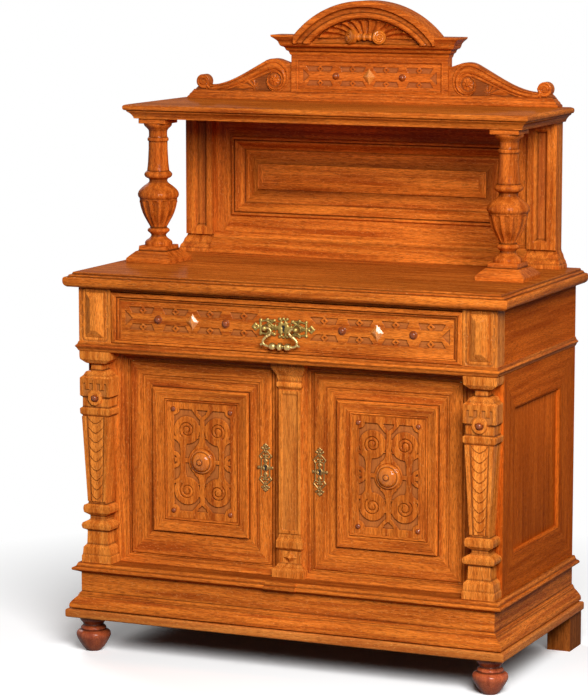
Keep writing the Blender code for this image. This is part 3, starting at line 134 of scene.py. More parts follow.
@dataclass
class Shape:
    """A surface on its way to a mesh.

    Each face knows the direction of its fibres and the board that it is cut from; each point knows how far
    it lies in a hollow, where the wood is darkened as wax and as painted shade, and whether it is on matted
    carving ground.
    """

    points: Array
    faces: Array
    grains: Array
    members: Array
    hollow: Array
    ground: Array
    caps: list[tuple[Array, int, int]] = field(default_factory=list)
    boards: ClassVar[itertools.count] = itertools.count(19)

    @classmethod
    def grid(
        cls,
        points: Array,
        wrap_u: bool = False,
        wrap_v: bool = False,
        grains: Grain | Sequence[Grain] = Grain.WIDTH,
        hollow: Array | float = 0.0,
        ground: Array | float = 0.0,
        caps: Grain | None = None,
        capped: tuple[int, ...] = (0, -1),
    ) -> "Shape":
        """Makes the faces of a grid of points: each cell between two rows and two columns is one face.

        Args:
            points: Rows by columns by three.
            wrap_u: Whether the last row joins the first.
            wrap_v: Whether the last column joins the first.
            grains: Fibre direction of the whole grid, or of each column of faces.
            hollow: How hollow each point lies, or rows by one.
            ground: How much each point is carving ground.
            caps: Fibre direction of the flat ends, if they are closed.
            capped: The rows that are closed.

        Returns:
            The shape.
        """
        rows, columns = points.shape[:2]
        index = np.arange(rows * columns).reshape(rows, columns)
        ends = [index[row] for row in capped] if caps else []
        if wrap_u:
            index = np.vstack([index, index[:1]])
        if wrap_v:
            index = np.hstack([index, index[:, :1]])
        faces = np.stack([index[:-1, :-1], index[:-1, 1:], index[1:, 1:], index[1:, :-1]], axis=-1)
        listed = [grains] if isinstance(grains, Grain) else list(grains)
        boards = np.array([next(cls.boards) for _ in listed])
        codes = np.array([grain.code for grain in listed])
        return cls(
            points.reshape(-1, 3).astype(float),
            faces.reshape(-1, 4),
            np.broadcast_to(codes, faces.shape[:2]).ravel(),
            np.broadcast_to(boards, faces.shape[:2]).ravel(),
            np.broadcast_to(hollow, (rows, columns)).astype(float).ravel(),
            np.broadcast_to(ground, (rows, columns)).astype(float).ravel(),
            [(end, caps.code, next(cls.boards)) for end in ends],
        )

    @staticmethod
    def join(*shapes: "Shape") -> "Shape":
        """Puts several shapes into one, each with its own points.

        Args:
            shapes: The shapes, in the order of their points.

        Returns:
            One shape that holds them all.
        """
        starts = np.cumsum([0] + [len(shape.points) for shape in shapes])
        pairs = list(zip(shapes, starts))
        return Shape(
            np.concatenate([shape.points for shape in shapes]),
            np.concatenate([shape.faces + start for shape, start in pairs]),
            np.concatenate([shape.grains for shape in shapes]),
            np.concatenate([shape.members for shape in shapes]),
            np.concatenate([shape.hollow for shape in shapes]),
            np.concatenate([shape.ground for shape in shapes]),
            [(cap + start, grain, board) for shape, start in pairs for cap, grain, board in shape.caps],
        )

    def moved(self, points: Array, order: Sequence[int] = (0, 1, 2)) -> "Shape":
        """The same surface on other points, cut from other boards.

        Args:
            points: The new points, in the old order.
            order: The new code of each fibre direction.

        Returns:
            The moved shape.
        """
        shift, turn = 7 * next(self.boards) + 101, np.array(order)
        caps = [(cap, int(turn[grain]), board + shift) for cap, grain, board in self.caps]
        return Shape(
            points, self.faces, turn[self.grains], self.members + shift, self.hollow, self.ground, caps
        )

    def mirrored(self) -> "Shape":
        """The same shape on the cabinet's other side, with x turned to minus x."""
        return self.moved(self.points * (-1.0, 1.0, 1.0))

    def on_side(self, side: int) -> "Shape":
        """A shape made for the front, turned a quarter round to the right (1) or left (-1) side."""
        x, y, z = self.points.T
        return self.moved(np.stack([-side * y, x, z], axis=1), (2, 1, 0))

    def build(self, name: str, material: bpy.types.Material) -> bpy.types.Object:
        """Puts the shape into a mesh: doubles merged, faces outwards, fibres and hollows kept as attributes.

        Args:
            name: Name of the piece.
            material: Its finish.

        Returns:
            The object, in the scene.
        """
        _, first, where = np.unique(
            np.round(self.points, WELD_DECIMALS), axis=0, return_index=True, return_inverse=True
        )
        where, points = where.reshape(-1), self.points[first]
        quads = where[self.faces]
        keep = quads != np.roll(quads, -1, axis=1)
        good = keep.sum(axis=1) > 2
        loops = [where[cap] for cap, _, _ in self.caps]
        loops = [loop[loop != np.roll(loop, 1)] for loop in loops]
        sizes = np.concatenate([keep[good].sum(axis=1), [len(loop) for loop in loops]]).astype(np.int32)
        corners = np.concatenate([quads[good][keep[good]], *loops]).astype(np.int32)
        grains = np.concatenate([self.grains[good], [grain for _, grain, _ in self.caps]]).astype(int)
        members = np.concatenate([self.members[good], [board for _, _, board in self.caps]]).astype(int)

        mesh = bpy.data.meshes.new(name)
        mesh.vertices.add(len(points))
        mesh.vertices.foreach_set("co", points.astype(np.float32).ravel())
        mesh.loops.add(len(corners))
        mesh.loops.foreach_set("vertex_index", corners)
        mesh.polygons.add(len(sizes))
        mesh.polygons.foreach_set("loop_start", np.cumsum(sizes, dtype=np.int32) - sizes)
        mesh.update(calc_edges=True)
        bm = bmesh.new()
        bm.from_mesh(mesh)
        bmesh.ops.recalc_face_normals(bm, faces=bm.faces)
        bm.to_mesh(mesh)
        bm.free()

        mesh.loops.foreach_get("vertex_index", corners)
        orders = np.array([grain.value for grain in Grain])[np.repeat(grains, sizes)]
        board = BOARD_REACH * np.sin(np.repeat(members, sizes)[:, None] * BOARD_STEPS)
        fibre = np.take_along_axis(points[corners], orders, axis=1) + board
        mesh.attributes.new("grain", "FLOAT_VECTOR", "CORNER").data.foreach_set(
            "vector", fibre.astype(np.float32).ravel()
        )
        for label, values in (("hollow", self.hollow), ("ground", self.ground)):
            mesh.attributes.new(label, "FLOAT", "POINT").data.foreach_set(
                "value", values[first].astype(np.float32)
            )
        mesh.shade_smooth()
        mesh.set_sharp_from_angle(angle=SHARP_EDGE)
        mesh.materials.append(material)
        piece = bpy.data.objects.new(name, mesh)
        bpy.context.scene.collection.objects.link(piece)
        return piece


def softened(outline: Outline | Array, times: int = 2) -> Array:
    """Rounds an outline.

    Each pass puts points at a quarter and three quarters of every leg, and keeps the two ends.

    Args:
        outline: The points.
        times: How many passes are made.

    Returns:
        The rounded outline.
    """
    line = np.asarray(outline, float)
    for _ in range(times):
        legs = np.stack([0.75 * line[:-1] + 0.25 * line[1:], 0.25 * line[:-1] + 0.75 * line[1:]], axis=1)
        line = np.concatenate([line[:1], legs.reshape(-1, line.shape[1]), line[-1:]])
    return line


def eased(outline: Outline | Array, radius: float = 0.0035) -> Array:
    """Eases the corners of an outline: each becomes three points of a short curve.

    Args:
        outline: The points.
        radius: How far from its corner a curve leaves the two legs.

    Returns:
        The eased outline.
    """
    line = np.asarray(outline, float)
    corner, legs = line[1:-1], (line[:-2] - line[1:-1], line[2:] - line[1:-1])
    lengths = [np.linalg.norm(leg, axis=1, keepdims=True) + 1e-9 for leg in legs]
    a, b = (corner + leg * np.minimum(radius / length, 0.4) for leg, length in zip(legs, lengths))
    rounded = np.stack([a, 0.25 * a + 0.5 * corner + 0.25 * b, b], axis=1)
    return np.concatenate([line[:1], rounded.reshape(-1, line.shape[1]), line[-1:]])


def spaced(line: Array, pitch: float = 0.003) -> Array:
    """Adds points along a line by straight interpolation over its length.

    Args:
        line: The points.
        pitch: The largest distance between two points.

    Returns:
        The line with its own points and the added ones.
    """
    length = np.concatenate([[0.0], np.cumsum(np.linalg.norm(np.diff(line, axis=0), axis=1))])
    marks = np.union1d(length, np.linspace(0.0, length[-1], math.ceil(length[-1] / pitch) + 1))
    return np.stack([np.interp(marks, length, column) for column in line.T], axis=1)


def hollows(section: Array, side: int, reach: float = 0.0034, full: float = 0.0006) -> Array:
    """How far each point of a section lies in a hollow.

    The section is averaged along itself with a bell-shaped weight, and the distance from a point to that
    average, taken along the outward normal, is the depth of the hollow.

    Args:
        section: The points, in metres.
        side: 1 where the open side is on the right of the direction of travel, -1 where it is on the left.
        reach: Length of the bell.
        full: Depth that counts as fully hollow.

    Returns:
        A number from 0 to 1 for each point.
    """
    length = np.concatenate([[0.0], np.cumsum(np.linalg.norm(np.diff(section, axis=0), axis=1))])
    weight = np.exp(-(((length[:, None] - length[None]) / reach) ** 2)) * (np.gradient(length)[None] + 1e-9)
    mean = weight @ section / weight.sum(axis=1, keepdims=True)
    run, climb = np.gradient(section, axis=0).T
    normal = side * np.stack([climb, -run], axis=1) / (np.hypot(run, climb)[:, None] + 1e-12)
    return np.clip(((mean - section) * normal).sum(axis=1) / full, 0.0, 1.0)


def sunken(rise: Array, reach: int = 3, full: float = 0.0024) -> Array:
    """How far each point of a carved field lies below the mean of the square of points round it.

    Args:
        rise: The rise at each point.
        reach: How many points the square takes in on each side.
        full: Depth that counts as fully sunk.

    Returns:
        A number from 0 to 1 for each point.
    """
    mean = rise
    for axis in (0, 1):
        padding = [(reach + 1, reach) if a == axis else (0, 0) for a in (0, 1)]
        total = np.cumsum(np.pad(mean, padding, mode="edge"), axis=axis)
        window = 2 * reach + 1
        ends = np.arange(window, total.shape[axis])
        mean = (np.take(total, ends, axis) - np.take(total, ends - window, axis)) / window
    return np.clip((mean - rise) / full, 0.0, 1.0)


def level_loops(plan: Sequence[tuple[Array, Array]], height: Array) -> Array:
    """Rows of points: at each height one loop, which goes through the plan's corners in turn."""
    return np.stack([np.stack([a, b, height], axis=-1) for a, b in plan], axis=1)


def rectangles(x: Span, z: Span, planes: Sequence[float]) -> Array:
    """Rows of four points: the same upright rectangle at each of the planes."""
    corners = ((x[0], z[0]), (x[1], z[0]), (x[1], z[1]), (x[0], z[1]))
    return np.array([[(a, plane, b) for a, b in corners] for plane in planes])


def framing(steps: Outline, size: Span, plane: float, back: float, pitch: float) -> Array:
    """The section of a mitred frame, whose moulded edge runs straight back at both ends.

    Args:
        steps: (in, deep) of the edge, as shares of its width and depth.
        size: Width and depth of the edge.
        plane: The y of its front.
        back: The y of its back.
        pitch: The largest distance between two points.

    Returns:
        Rows of the share of the width and the y.
    """
    edge = spaced(eased(np.array(steps) * size, 0.0015), pitch) * (1 / size[0], 1.0) + (0.0, plane)
    return np.concatenate([[(0.0, back)], edge, [(1.0, back)]])


def moulded(
    profile: Outline,
    x: Span,
    y: Span,
    z: Span,
    side: float | Span,
    front: float,
    jut: Span | None = None,
    bore: float = 0.0,
    part: Span = (0.0, 1.0),
) -> Shape:
    """A board whose sides and front follow a profile and whose back is flat.

    Each profile point gives one level loop: the plan rectangle is let out by the point's first number times
    the side and front projection, at the height given by its second number.

    Args:
        profile: (out, up) as shares of the projection and the height.
        x: Width of the plan.
        y: Front and back of the plan.
        z: Foot and top.
        side: Projection at the sides, or at the left and the right.
        front: Projection at the front.
        jut: Half width and depth of a step forward in the middle.
        bore: Wall of a hollow frame, where it isn't solid.
        part: The shares of the height that are made.

    Returns:
        The board.
    """
    section = spaced(eased(np.asarray(profile) * (front, z[1] - z[0])), 0.002)
    shade = hollows(section, 1)
    if part != (0.0, 1.0):
        low, high = (share * (z[1] - z[0]) for share in part)
        marks = np.concatenate([[low], section[(section[:, 1] > low) & (section[:, 1] < high), 1], [high]])
        shade = np.interp(marks, section[:, 1], shade)
        section = np.stack([np.interp(marks, section[:, 1], section[:, 0]), marks], axis=1)
    out, up = section.T
    sides = (side, side) if isinstance(side, float) else side
    left, right = x[0] - out * sides[0] / front, x[1] + out * sides[1] / front
    near, far, height = y[0] - out, np.full_like(out, y[1]), z[0] + up
    plan = [(left, far), (left, near), (right, near), (right, far)]
    grains = [Grain.DEPTH, Grain.WIDTH, Grain.DEPTH, Grain.WIDTH]
    if jut:
        step = jut[0] + out * jut[1] / front
        plan[2:2] = [(-step, near), (-step, near - jut[1]), (step, near - jut[1]), (step, near)]
        grains[1:2] = [Grain.WIDTH] * 5
    points = level_loops(plan, height)
    if bore:
        hole = [
            (x[0] + bore, y[1] - bore), (x[0] + bore, y[0] + bore), (x[1] - bore, y[0] + bore),
            (x[1] - bore, y[1] - bore)
        ]
        points = np.concatenate([points, [[(a, b, level) for a, b in hole] for level in (z[1], z[0])]])
        return Shape.grid(points, True, True, grains, np.append(shade, (0, 0))[:, None])
    return Shape.grid(points, wrap_v=True, grains=grains, hollow=shade[:, None], caps=Grain.WIDTH)


def block(x: Span, y: Span, z: Span, grain: Grain, ease: float = 0.0012) -> Shape:
    """A board with eased edges: its loops start drawn in, come out, run up straight and draw in again.

    Args:
        x: Width.
        y: Front and back.
        z: Foot and top.
        grain: Fibre direction.
        ease: How far the edges are drawn in.

    Returns:
        The board.
    """
    inset = np.array([ease, 0.35 * ease, 0.0, 0.0, 0.35 * ease, ease])
    height = np.array([z[0], z[0] + 0.35 * ease, z[0] + ease, z[1] - ease, z[1] - 0.35 * ease, z[1]])
    chamfer = 0.7 * ease
    x0, x1, y0, y1 = x[0] + inset, x[1] - inset, y[0] + inset, y[1] - inset
    plan = [
        (x0, y1 - chamfer), (x0, y0 + chamfer), (x0 + chamfer, y0), (x1 - chamfer, y0), (x1, y0 + chamfer),
        (x1, y1 - chamfer), (x1 - chamfer, y1), (x0 + chamfer, y1)
    ]
    points = level_loops(plan, height)
    return Shape.grid(points, wrap_v=True, grains=grain, caps=grain)


def ring(
    x: Span,
    z: Span,
    section: Array,
    widths: Sequence[float] = (1, 1, 1, 1),
    closed: bool = True,
) -> Shape:
    """A mitred frame facing the front.

    Each row of the section gives one rectangle: its first number times each side's width is how far that
    side is drawn in from the outer edge, and its second number is the rectangle's y.

    Args:
        x: Outer width.
        z: Outer height.
        section: Rows of (drawn in, y).
        widths: Scale at the left, right, bottom and top.
        closed: Whether the section is a closed ring; otherwise its ends are closed with flat faces.

    Returns:
        The frame.
    """
    inward, depth = section.T
    left, right, low, high = (width * inward for width in widths)
    plan = [
        (x[0] + left, z[0] + low), (x[1] - right, z[0] + low), (x[1] - right, z[1] - high),
        (x[0] + left, z[1] - high)
    ]
    points = level_loops(plan, depth)[..., [0, 2, 1]]
    shade = hollows(section * (float(np.mean(widths)), -1.0), -1)[:, None]
    shade[[0, -1]] = 0.0
    return Shape.grid(points, closed, True, MITRED, shade, caps=None if closed else Grain.WIDTH)


def turned(
    profile: Outline,
    foot: Place,
    radius: float,
    height: float,
    facing: Facing = Facing.UP,
    steps: int = 56,
    swell: Distance | None = None,
    grain: Grain = Grain.HEIGHT,
    soft: int = 2,
) -> Shape:
    """A piece from the lathe: a point is the profile's radius times (cos, sin), at the profile's height.

    Args:
        profile: (radius, height) as shares, from the top down.
        foot: Where the axis meets the foot.
        radius: Largest radius.
        height: Height over the foot.
        facing: Where the axis points.
        steps: Points round the axis.
        swell: What is added to the radius for each angle and height share, such as flutes.
        grain: Fibre direction.
        soft: How often the profile is rounded.

    Returns:
        The turned shape.
    """
    section = spaced(softened(np.asarray(profile) * (radius, height), soft), 0.0025)
    angle = np.linspace(0.0, 2 * math.pi, steps, endpoint=False)[None]
    reach, rise = section[:, :1] + 0.0 * angle, section[:, 1:] + 0.0 * angle
    shade = np.repeat(hollows(section, -1)[:, None], steps, axis=1)
    if swell:
        change = swell(angle, rise / height)
        reach, shade = reach + change, np.clip(shade - change / 0.008, 0.0, 1.0)
    first, second, up = (np.array(axis, float) for axis in facing.value)
    around = np.cos(angle)[..., None] * first + np.sin(angle)[..., None] * second
    points = np.array(foot) + reach[..., None] * around + rise[..., None] * up
    return Shape.grid(points, wrap_v=True, grains=grain, hollow=shade, caps=grain)


def slab(
    front: Array,
    back: float,
    grain: Grain,
    hollow: Array | float = 0.0,
    ground: Array | float = 0.0,
) -> Shape:
    """A grid as the front of a closed block.

    Its rim is carried straight back to one y, where a flat face closes it.

    Args:
        front: The points of the front, rows by columns by three.
        back: The y of the flat back.
        grain: Fibre direction.
        hollow: How hollow each point of the front lies.
        ground: How much each point of the front is carving ground.

    Returns:
        The block.
    """
    face = Shape.grid(front, grains=grain, hollow=hollow, ground=ground)
    index = np.arange(front.shape[0] * front.shape[1]).reshape(front.shape[:2])
    rim = np.concatenate([index[0, :-1], index[:-1, -1], index[-1, :0:-1], index[:0:-1, 0]])
    edge = face.points[rim]
    behind = np.stack([edge[:, 0], np.full(len(rim), back), edge[:, 2]], axis=1)
    wall = Shape.grid(np.stack([edge, behind]), wrap_v=True, grains=grain, caps=grain, capped=(-1,))
    wall.members[:] = face.members[0]
    return Shape.join(face, wall)


def mortise(face: Array, mouth: Array, sink: Sequence[float]) -> Shape:
    """A flat face with a mortise: its corners join the mouth's, whose walls run straight in to a floor.

    Args:
        face: The four corners of the face.
        mouth: The four corners of the mortise's mouth, in the same order.
        sink: How far and which way the floor lies from the mouth.

    Returns:
        The face, its mortise and the mortise's floor.
    """
    rows = np.stack([face, mouth, np.asarray(mouth) + np.asarray(sink)])
    return Shape.grid(rows, wrap_v=True, grains=Grain.HEIGHT, caps=Grain.HEIGHT, capped=(-1,))


def carved(
    x: Span, z: Span, y: float, back: float, cut: Carver, grain: Grain, pitch: float = 0.00125
) -> Shape:
    """A carved board facing the front: over an even grid the face stands at y minus the carver's rise.

    Args:
        x: Width of the board.
        z: Height of the board.
        y: Plane of the face.
        back: Plane of the back.
        cut: Gives the rise, in metres, and the share of matted ground at each (x, z).
        grain: Fibre direction.
        pitch: Distance between grid points.

    Returns:
        The board.
    """
    counts = [max(3, round((span[1] - span[0]) / pitch) + 1) for span in (x, z)]
    across, up = np.meshgrid(np.linspace(*x, counts[0]), np.linspace(*z, counts[1]))
    rise, ground = cut(across, up)
    return slab(np.stack([across, y - rise, up], axis=-1), back, grain, sunken(rise), ground)


def cast(
    x: Span,
    z: Span,
    y: float,
    back: float,
    outline: Distance,
    rise: Relief,
    grain: Grain = Grain.HEIGHT,
    pitch: float = 0.0007,
    ground: Relief | None = None,
    darkening: Span = (0.5, 1.2),
) -> Shape:
    """A cut-out plate facing the front.

    The cells of an even grid whose middle has a negative outline distance are kept, and the points on their
    open edge slide down the distance's slope onto its zero line; the front stands at y minus the rise, the
    back is flat.

    Args:
        x: Width of the grid.
        z: Height of the grid.
        y: Plane of the face at its edge.
        back: Plane of the back.
        outline: Signed distance to the outline at each (x, z), negative inside.
        rise: Rise of the face for each (x, z, distance).
        grain: Fibre direction.
        pitch: Distance between grid points.
        ground: Share of matted ground for each (x, z, distance).
        darkening: How dark the lowest places are, and how fast that fades with the share of the rise.

    Returns:
        The plate.
    """
    counts = [round((span[1] - span[0]) / pitch) + 1 for span in (x, z)]
    across, up = (
        side.ravel() for side in np.meshgrid(np.linspace(*x, counts[0]), np.linspace(*z, counts[1]))
    )
    index = np.arange(across.size).reshape(counts[::-1])
    cells = np.stack([index[:-1, :-1], index[:-1, 1:], index[1:, 1:], index[1:, :-1]], axis=-1).reshape(-1, 4)
    cells = cells[outline(across, up)[cells].mean(axis=1) < 0]
    edges = np.stack([cells, np.roll(cells, -1, axis=1)], axis=-1).reshape(-1, 2)
    keys = edges.min(axis=1) * across.size + edges.max(axis=1)
    _, inverse, count = np.unique(keys, return_inverse=True, return_counts=True)
    border = edges[count[inverse.reshape(-1)] == 1]
    rim, step = np.unique(border), pitch / 4
    for _ in range(4):
        a, b = across[rim], up[rim]
        slope = [
            (outline(a + step, b) - outline(a - step, b)) / (2 * step),
            (outline(a, b + step) - outline(a, b - step)) / (2 * step)
        ]
        shift = np.clip(outline(a, b), -pitch / 2, pitch / 2) / np.maximum(slope[0] ** 2 + slope[1] ** 2, 0.2)
        across[rim], up[rim] = a - shift * slope[0], b - shift * slope[1]
    used, where = np.unique(cells, return_inverse=True)
    place = np.zeros(across.size, int)
    place[used] = np.arange(len(used))
    cells, border, across, up = where.reshape(-1, 4), place[border], across[used], up[used]
    far = outline(across, up)
    height = rise(across, up, far)
    matted = ground(across, up, far) if ground else np.zeros_like(height)
    front = np.stack([across, y - height, up], axis=1)
    behind = np.stack([across, np.full_like(up, back), up], axis=1)
    total = len(used)
    walls = np.stack([border[:, 0], border[:, 1], border[:, 1] + total, border[:, 0] + total], axis=1)
    faces = np.concatenate([cells, cells[:, ::-1] + total, walls])
    zeros = np.zeros(total)
    codes, boards = np.full(len(faces), grain.code), np.full(len(faces), next(Shape.boards))
    # The lowest places are darkened: patina on the brass plates, painted shade on the carved wood.
    dark = np.clip(darkening[0] - darkening[1] * height / (height.max() + 1e-9), 0.0, 1.0)
    return Shape(
        np.concatenate([front, behind]), faces, codes, boards, np.concatenate([dark, zeros]),
        np.concatenate([matted, zeros])
    )


def rod(path: Array, radius: Array, y: float, steps: int = 16) -> Shape:
    """A bent rod in a plane that faces the front: circles, square to the path, carried along it.

    Args:
        path: The (x, z) points of its middle line.
        radius: Its radius at each of them.
        y: The plane.
        steps: Points round each circle.

    Returns:
        The rod.
    """
    run = np.gradient(path, axis=0)
    run /= np.linalg.norm(run, axis=1, keepdims=True)
    angle = np.linspace(0.0, 2 * math.pi, steps, endpoint=False)[None]
    reach = radius[:, None]
    x = path[:, :1] - reach * np.cos(angle) * run[:, 1:]
    z = path[:, 1:] + reach * np.cos(angle) * run[:, :1]
    points = np.stack([x, y + reach * np.sin(angle), z], axis=-1)
    return Shape.grid(points, wrap_v=True, caps=Grain.WIDTH)


def disc(x: Array, z: Array, middle: Span, radius: float) -> Array:
    """Signed distance to a disc."""
    return np.hypot(x - middle[0], z - middle[1]) - radius


def plate(x: Array, z: Array, middle: Span, half: Span, corner: float = 0.0) -> Array:
    """Signed distance to a rectangle with rounded corners."""
    a, b = np.abs(x - middle[0]) - half[0] + corner, np.abs(z - middle[1]) - half[1] + corner
    return np.hypot(np.maximum(a, 0.0), np.maximum(b, 0.0)) + np.minimum(np.maximum(a, b), 0.0) - corner


def lozenge(x: Array, z: Array, middle: Span, half: Span) -> Array:
    """Signed distance to a lozenge: the shares of its half diagonals, added, less one, at real length."""
    share = np.abs(x - middle[0]) / half[0] + np.abs(z - middle[1]) / half[1] - 1
    return share * half[0] * half[1] / math.hypot(*half)


def trail(x: Array, z: Array, path: Outline | Array) -> Array:
    """Distance to a path: on each leg the nearest point is held between its two ends.

    Args:
        x: Places across.
        z: Heights.
        path: The points of the path.

    Returns:
        The distance to the nearest leg at each place.
    """
    line = np.asarray(path, float)
    shape, a, b = x.shape, line[:-1], line[1:]
    px, pz = x.reshape(-1, 1), z.reshape(-1, 1)
    leg = b - a
    share = ((px - a[:, 0]) * leg[:, 0] + (pz - a[:, 1]) * leg[:, 1]) / (leg**2).sum(axis=1)
    share = np.clip(share, 0.0, 1.0)
    far = np.hypot(px - a[:, 0] - share * leg[:, 0], pz - a[:, 1] - share * leg[:, 1])
    return far.min(axis=1).reshape(shape)


def within(x: Array, z: Array, path: Array) -> Array:
    """Whether points lie inside a closed path: a ray to the right crosses it an odd number of times.

    Args:
        x: Places across.
        z: Heights.
        path: The points of the path.

    Returns:
        True or false for each place.
    """
    a, b = path, np.roll(path, -1, axis=0)
    px, pz = x.reshape(-1, 1), z.reshape(-1, 1)
    spans = (a[:, 1] > pz) != (b[:, 1] > pz)
    rise = np.where(b[:, 1] == a[:, 1], 1e-12, b[:, 1] - a[:, 1])
    meet = a[:, 0] + (pz - a[:, 1]) / rise * (b[:, 0] - a[:, 0])
    return ((spans & (px < meet)).sum(axis=1) % 2 == 1).reshape(x.shape)


def scroll(middle: Span, outer: float, inner: float, turns: float, start: float, hand: int = 1) -> Array:
    """A spiral path: its radius falls evenly while its angle turns.

    Args:
        middle: Its eye.
        outer: Radius at its start.
        inner: Radius at its end.
        turns: How often it goes round.
        start: Angle at its start, in radians.
        hand: 1 turns to the left, -1 to the right.

    Returns:
        The points of the path.
    """
    share = np.linspace(0.0, 1.0, math.ceil(SPIRAL_STEPS * turns))
    radius, angle = outer + (inner - outer) * share, start + hand * 2 * math.pi * turns * share
    return np.stack([middle[0] + radius * np.cos(angle), middle[1] + radius * np.sin(angle)], axis=1)


def lift(distance: Array, width: float) -> Array:
    """A soft step: 1 inside a signed distance, 0 outside, eased over the width of its edge."""
    share = np.clip(0.5 - distance / width, 0.0, 1.0)
    return share * share * (3 - 2 * share)


def linear(code: str) -> Colour:
    """Turns an sRGB hex colour into a linear one.

    Args:
        code: The colour, such as #FFFFFF.

    Returns:
        Linear red, green and blue, and a full alpha.
    """
    srgb = np.array([int(code[i : i + 2], 16) for i in (1, 3, 5)]) / 255
    red, green, blue = np.where(srgb <= 0.04045, srgb / 12.92, ((srgb + 0.055) / 1.055) ** 2.4)
    return float(red), float(green), float(blue), 1.0


def add(tree: Tree, kind: str, inputs: dict[str | int, Any] | None = None, **settings: Any) -> bpy.types.Node:
    """Adds a shader node.

    Args:
        tree: The material's nodes.
        kind: The node's type, without its prefix.
        inputs: A value or another node's output for each input, by name or place.
        settings: The node's own properties; stops gives a ramp's (place, colour) pairs.

    Returns:
        The node.
    """
    node = tree.nodes.new("ShaderNode" + kind)
    for place, (where, colour) in enumerate(settings.pop("stops", ())):
        stops = node.color_ramp.elements
        stop = stops[place] if place < 2 else stops.new(where)
        stop.position, stop.color = where, colour
    for key, value in settings.items():
        setattr(node, key, value)
    for key, value in (inputs or {}).items():
        if isinstance(value, bpy.types.NodeSocket):
            tree.links.new(value, node.inputs[key])
        else:
            node.inputs[key].default_value = value
    return node


def shade(value: float) -> Colour:
    """A grey of the given linear value."""
    return value, value, value, 1.0


def blank(name: str) -> tuple[bpy.types.Material, Tree]:
    """A new material with no nodes yet.

    Args:
        name: The real material and how its surface was made.

    Returns:
        The material and its nodes.
    """
    material = bpy.data.materials.new(name)
    material.use_nodes = True
    material.node_tree.nodes.clear()
    return material, material.node_tree


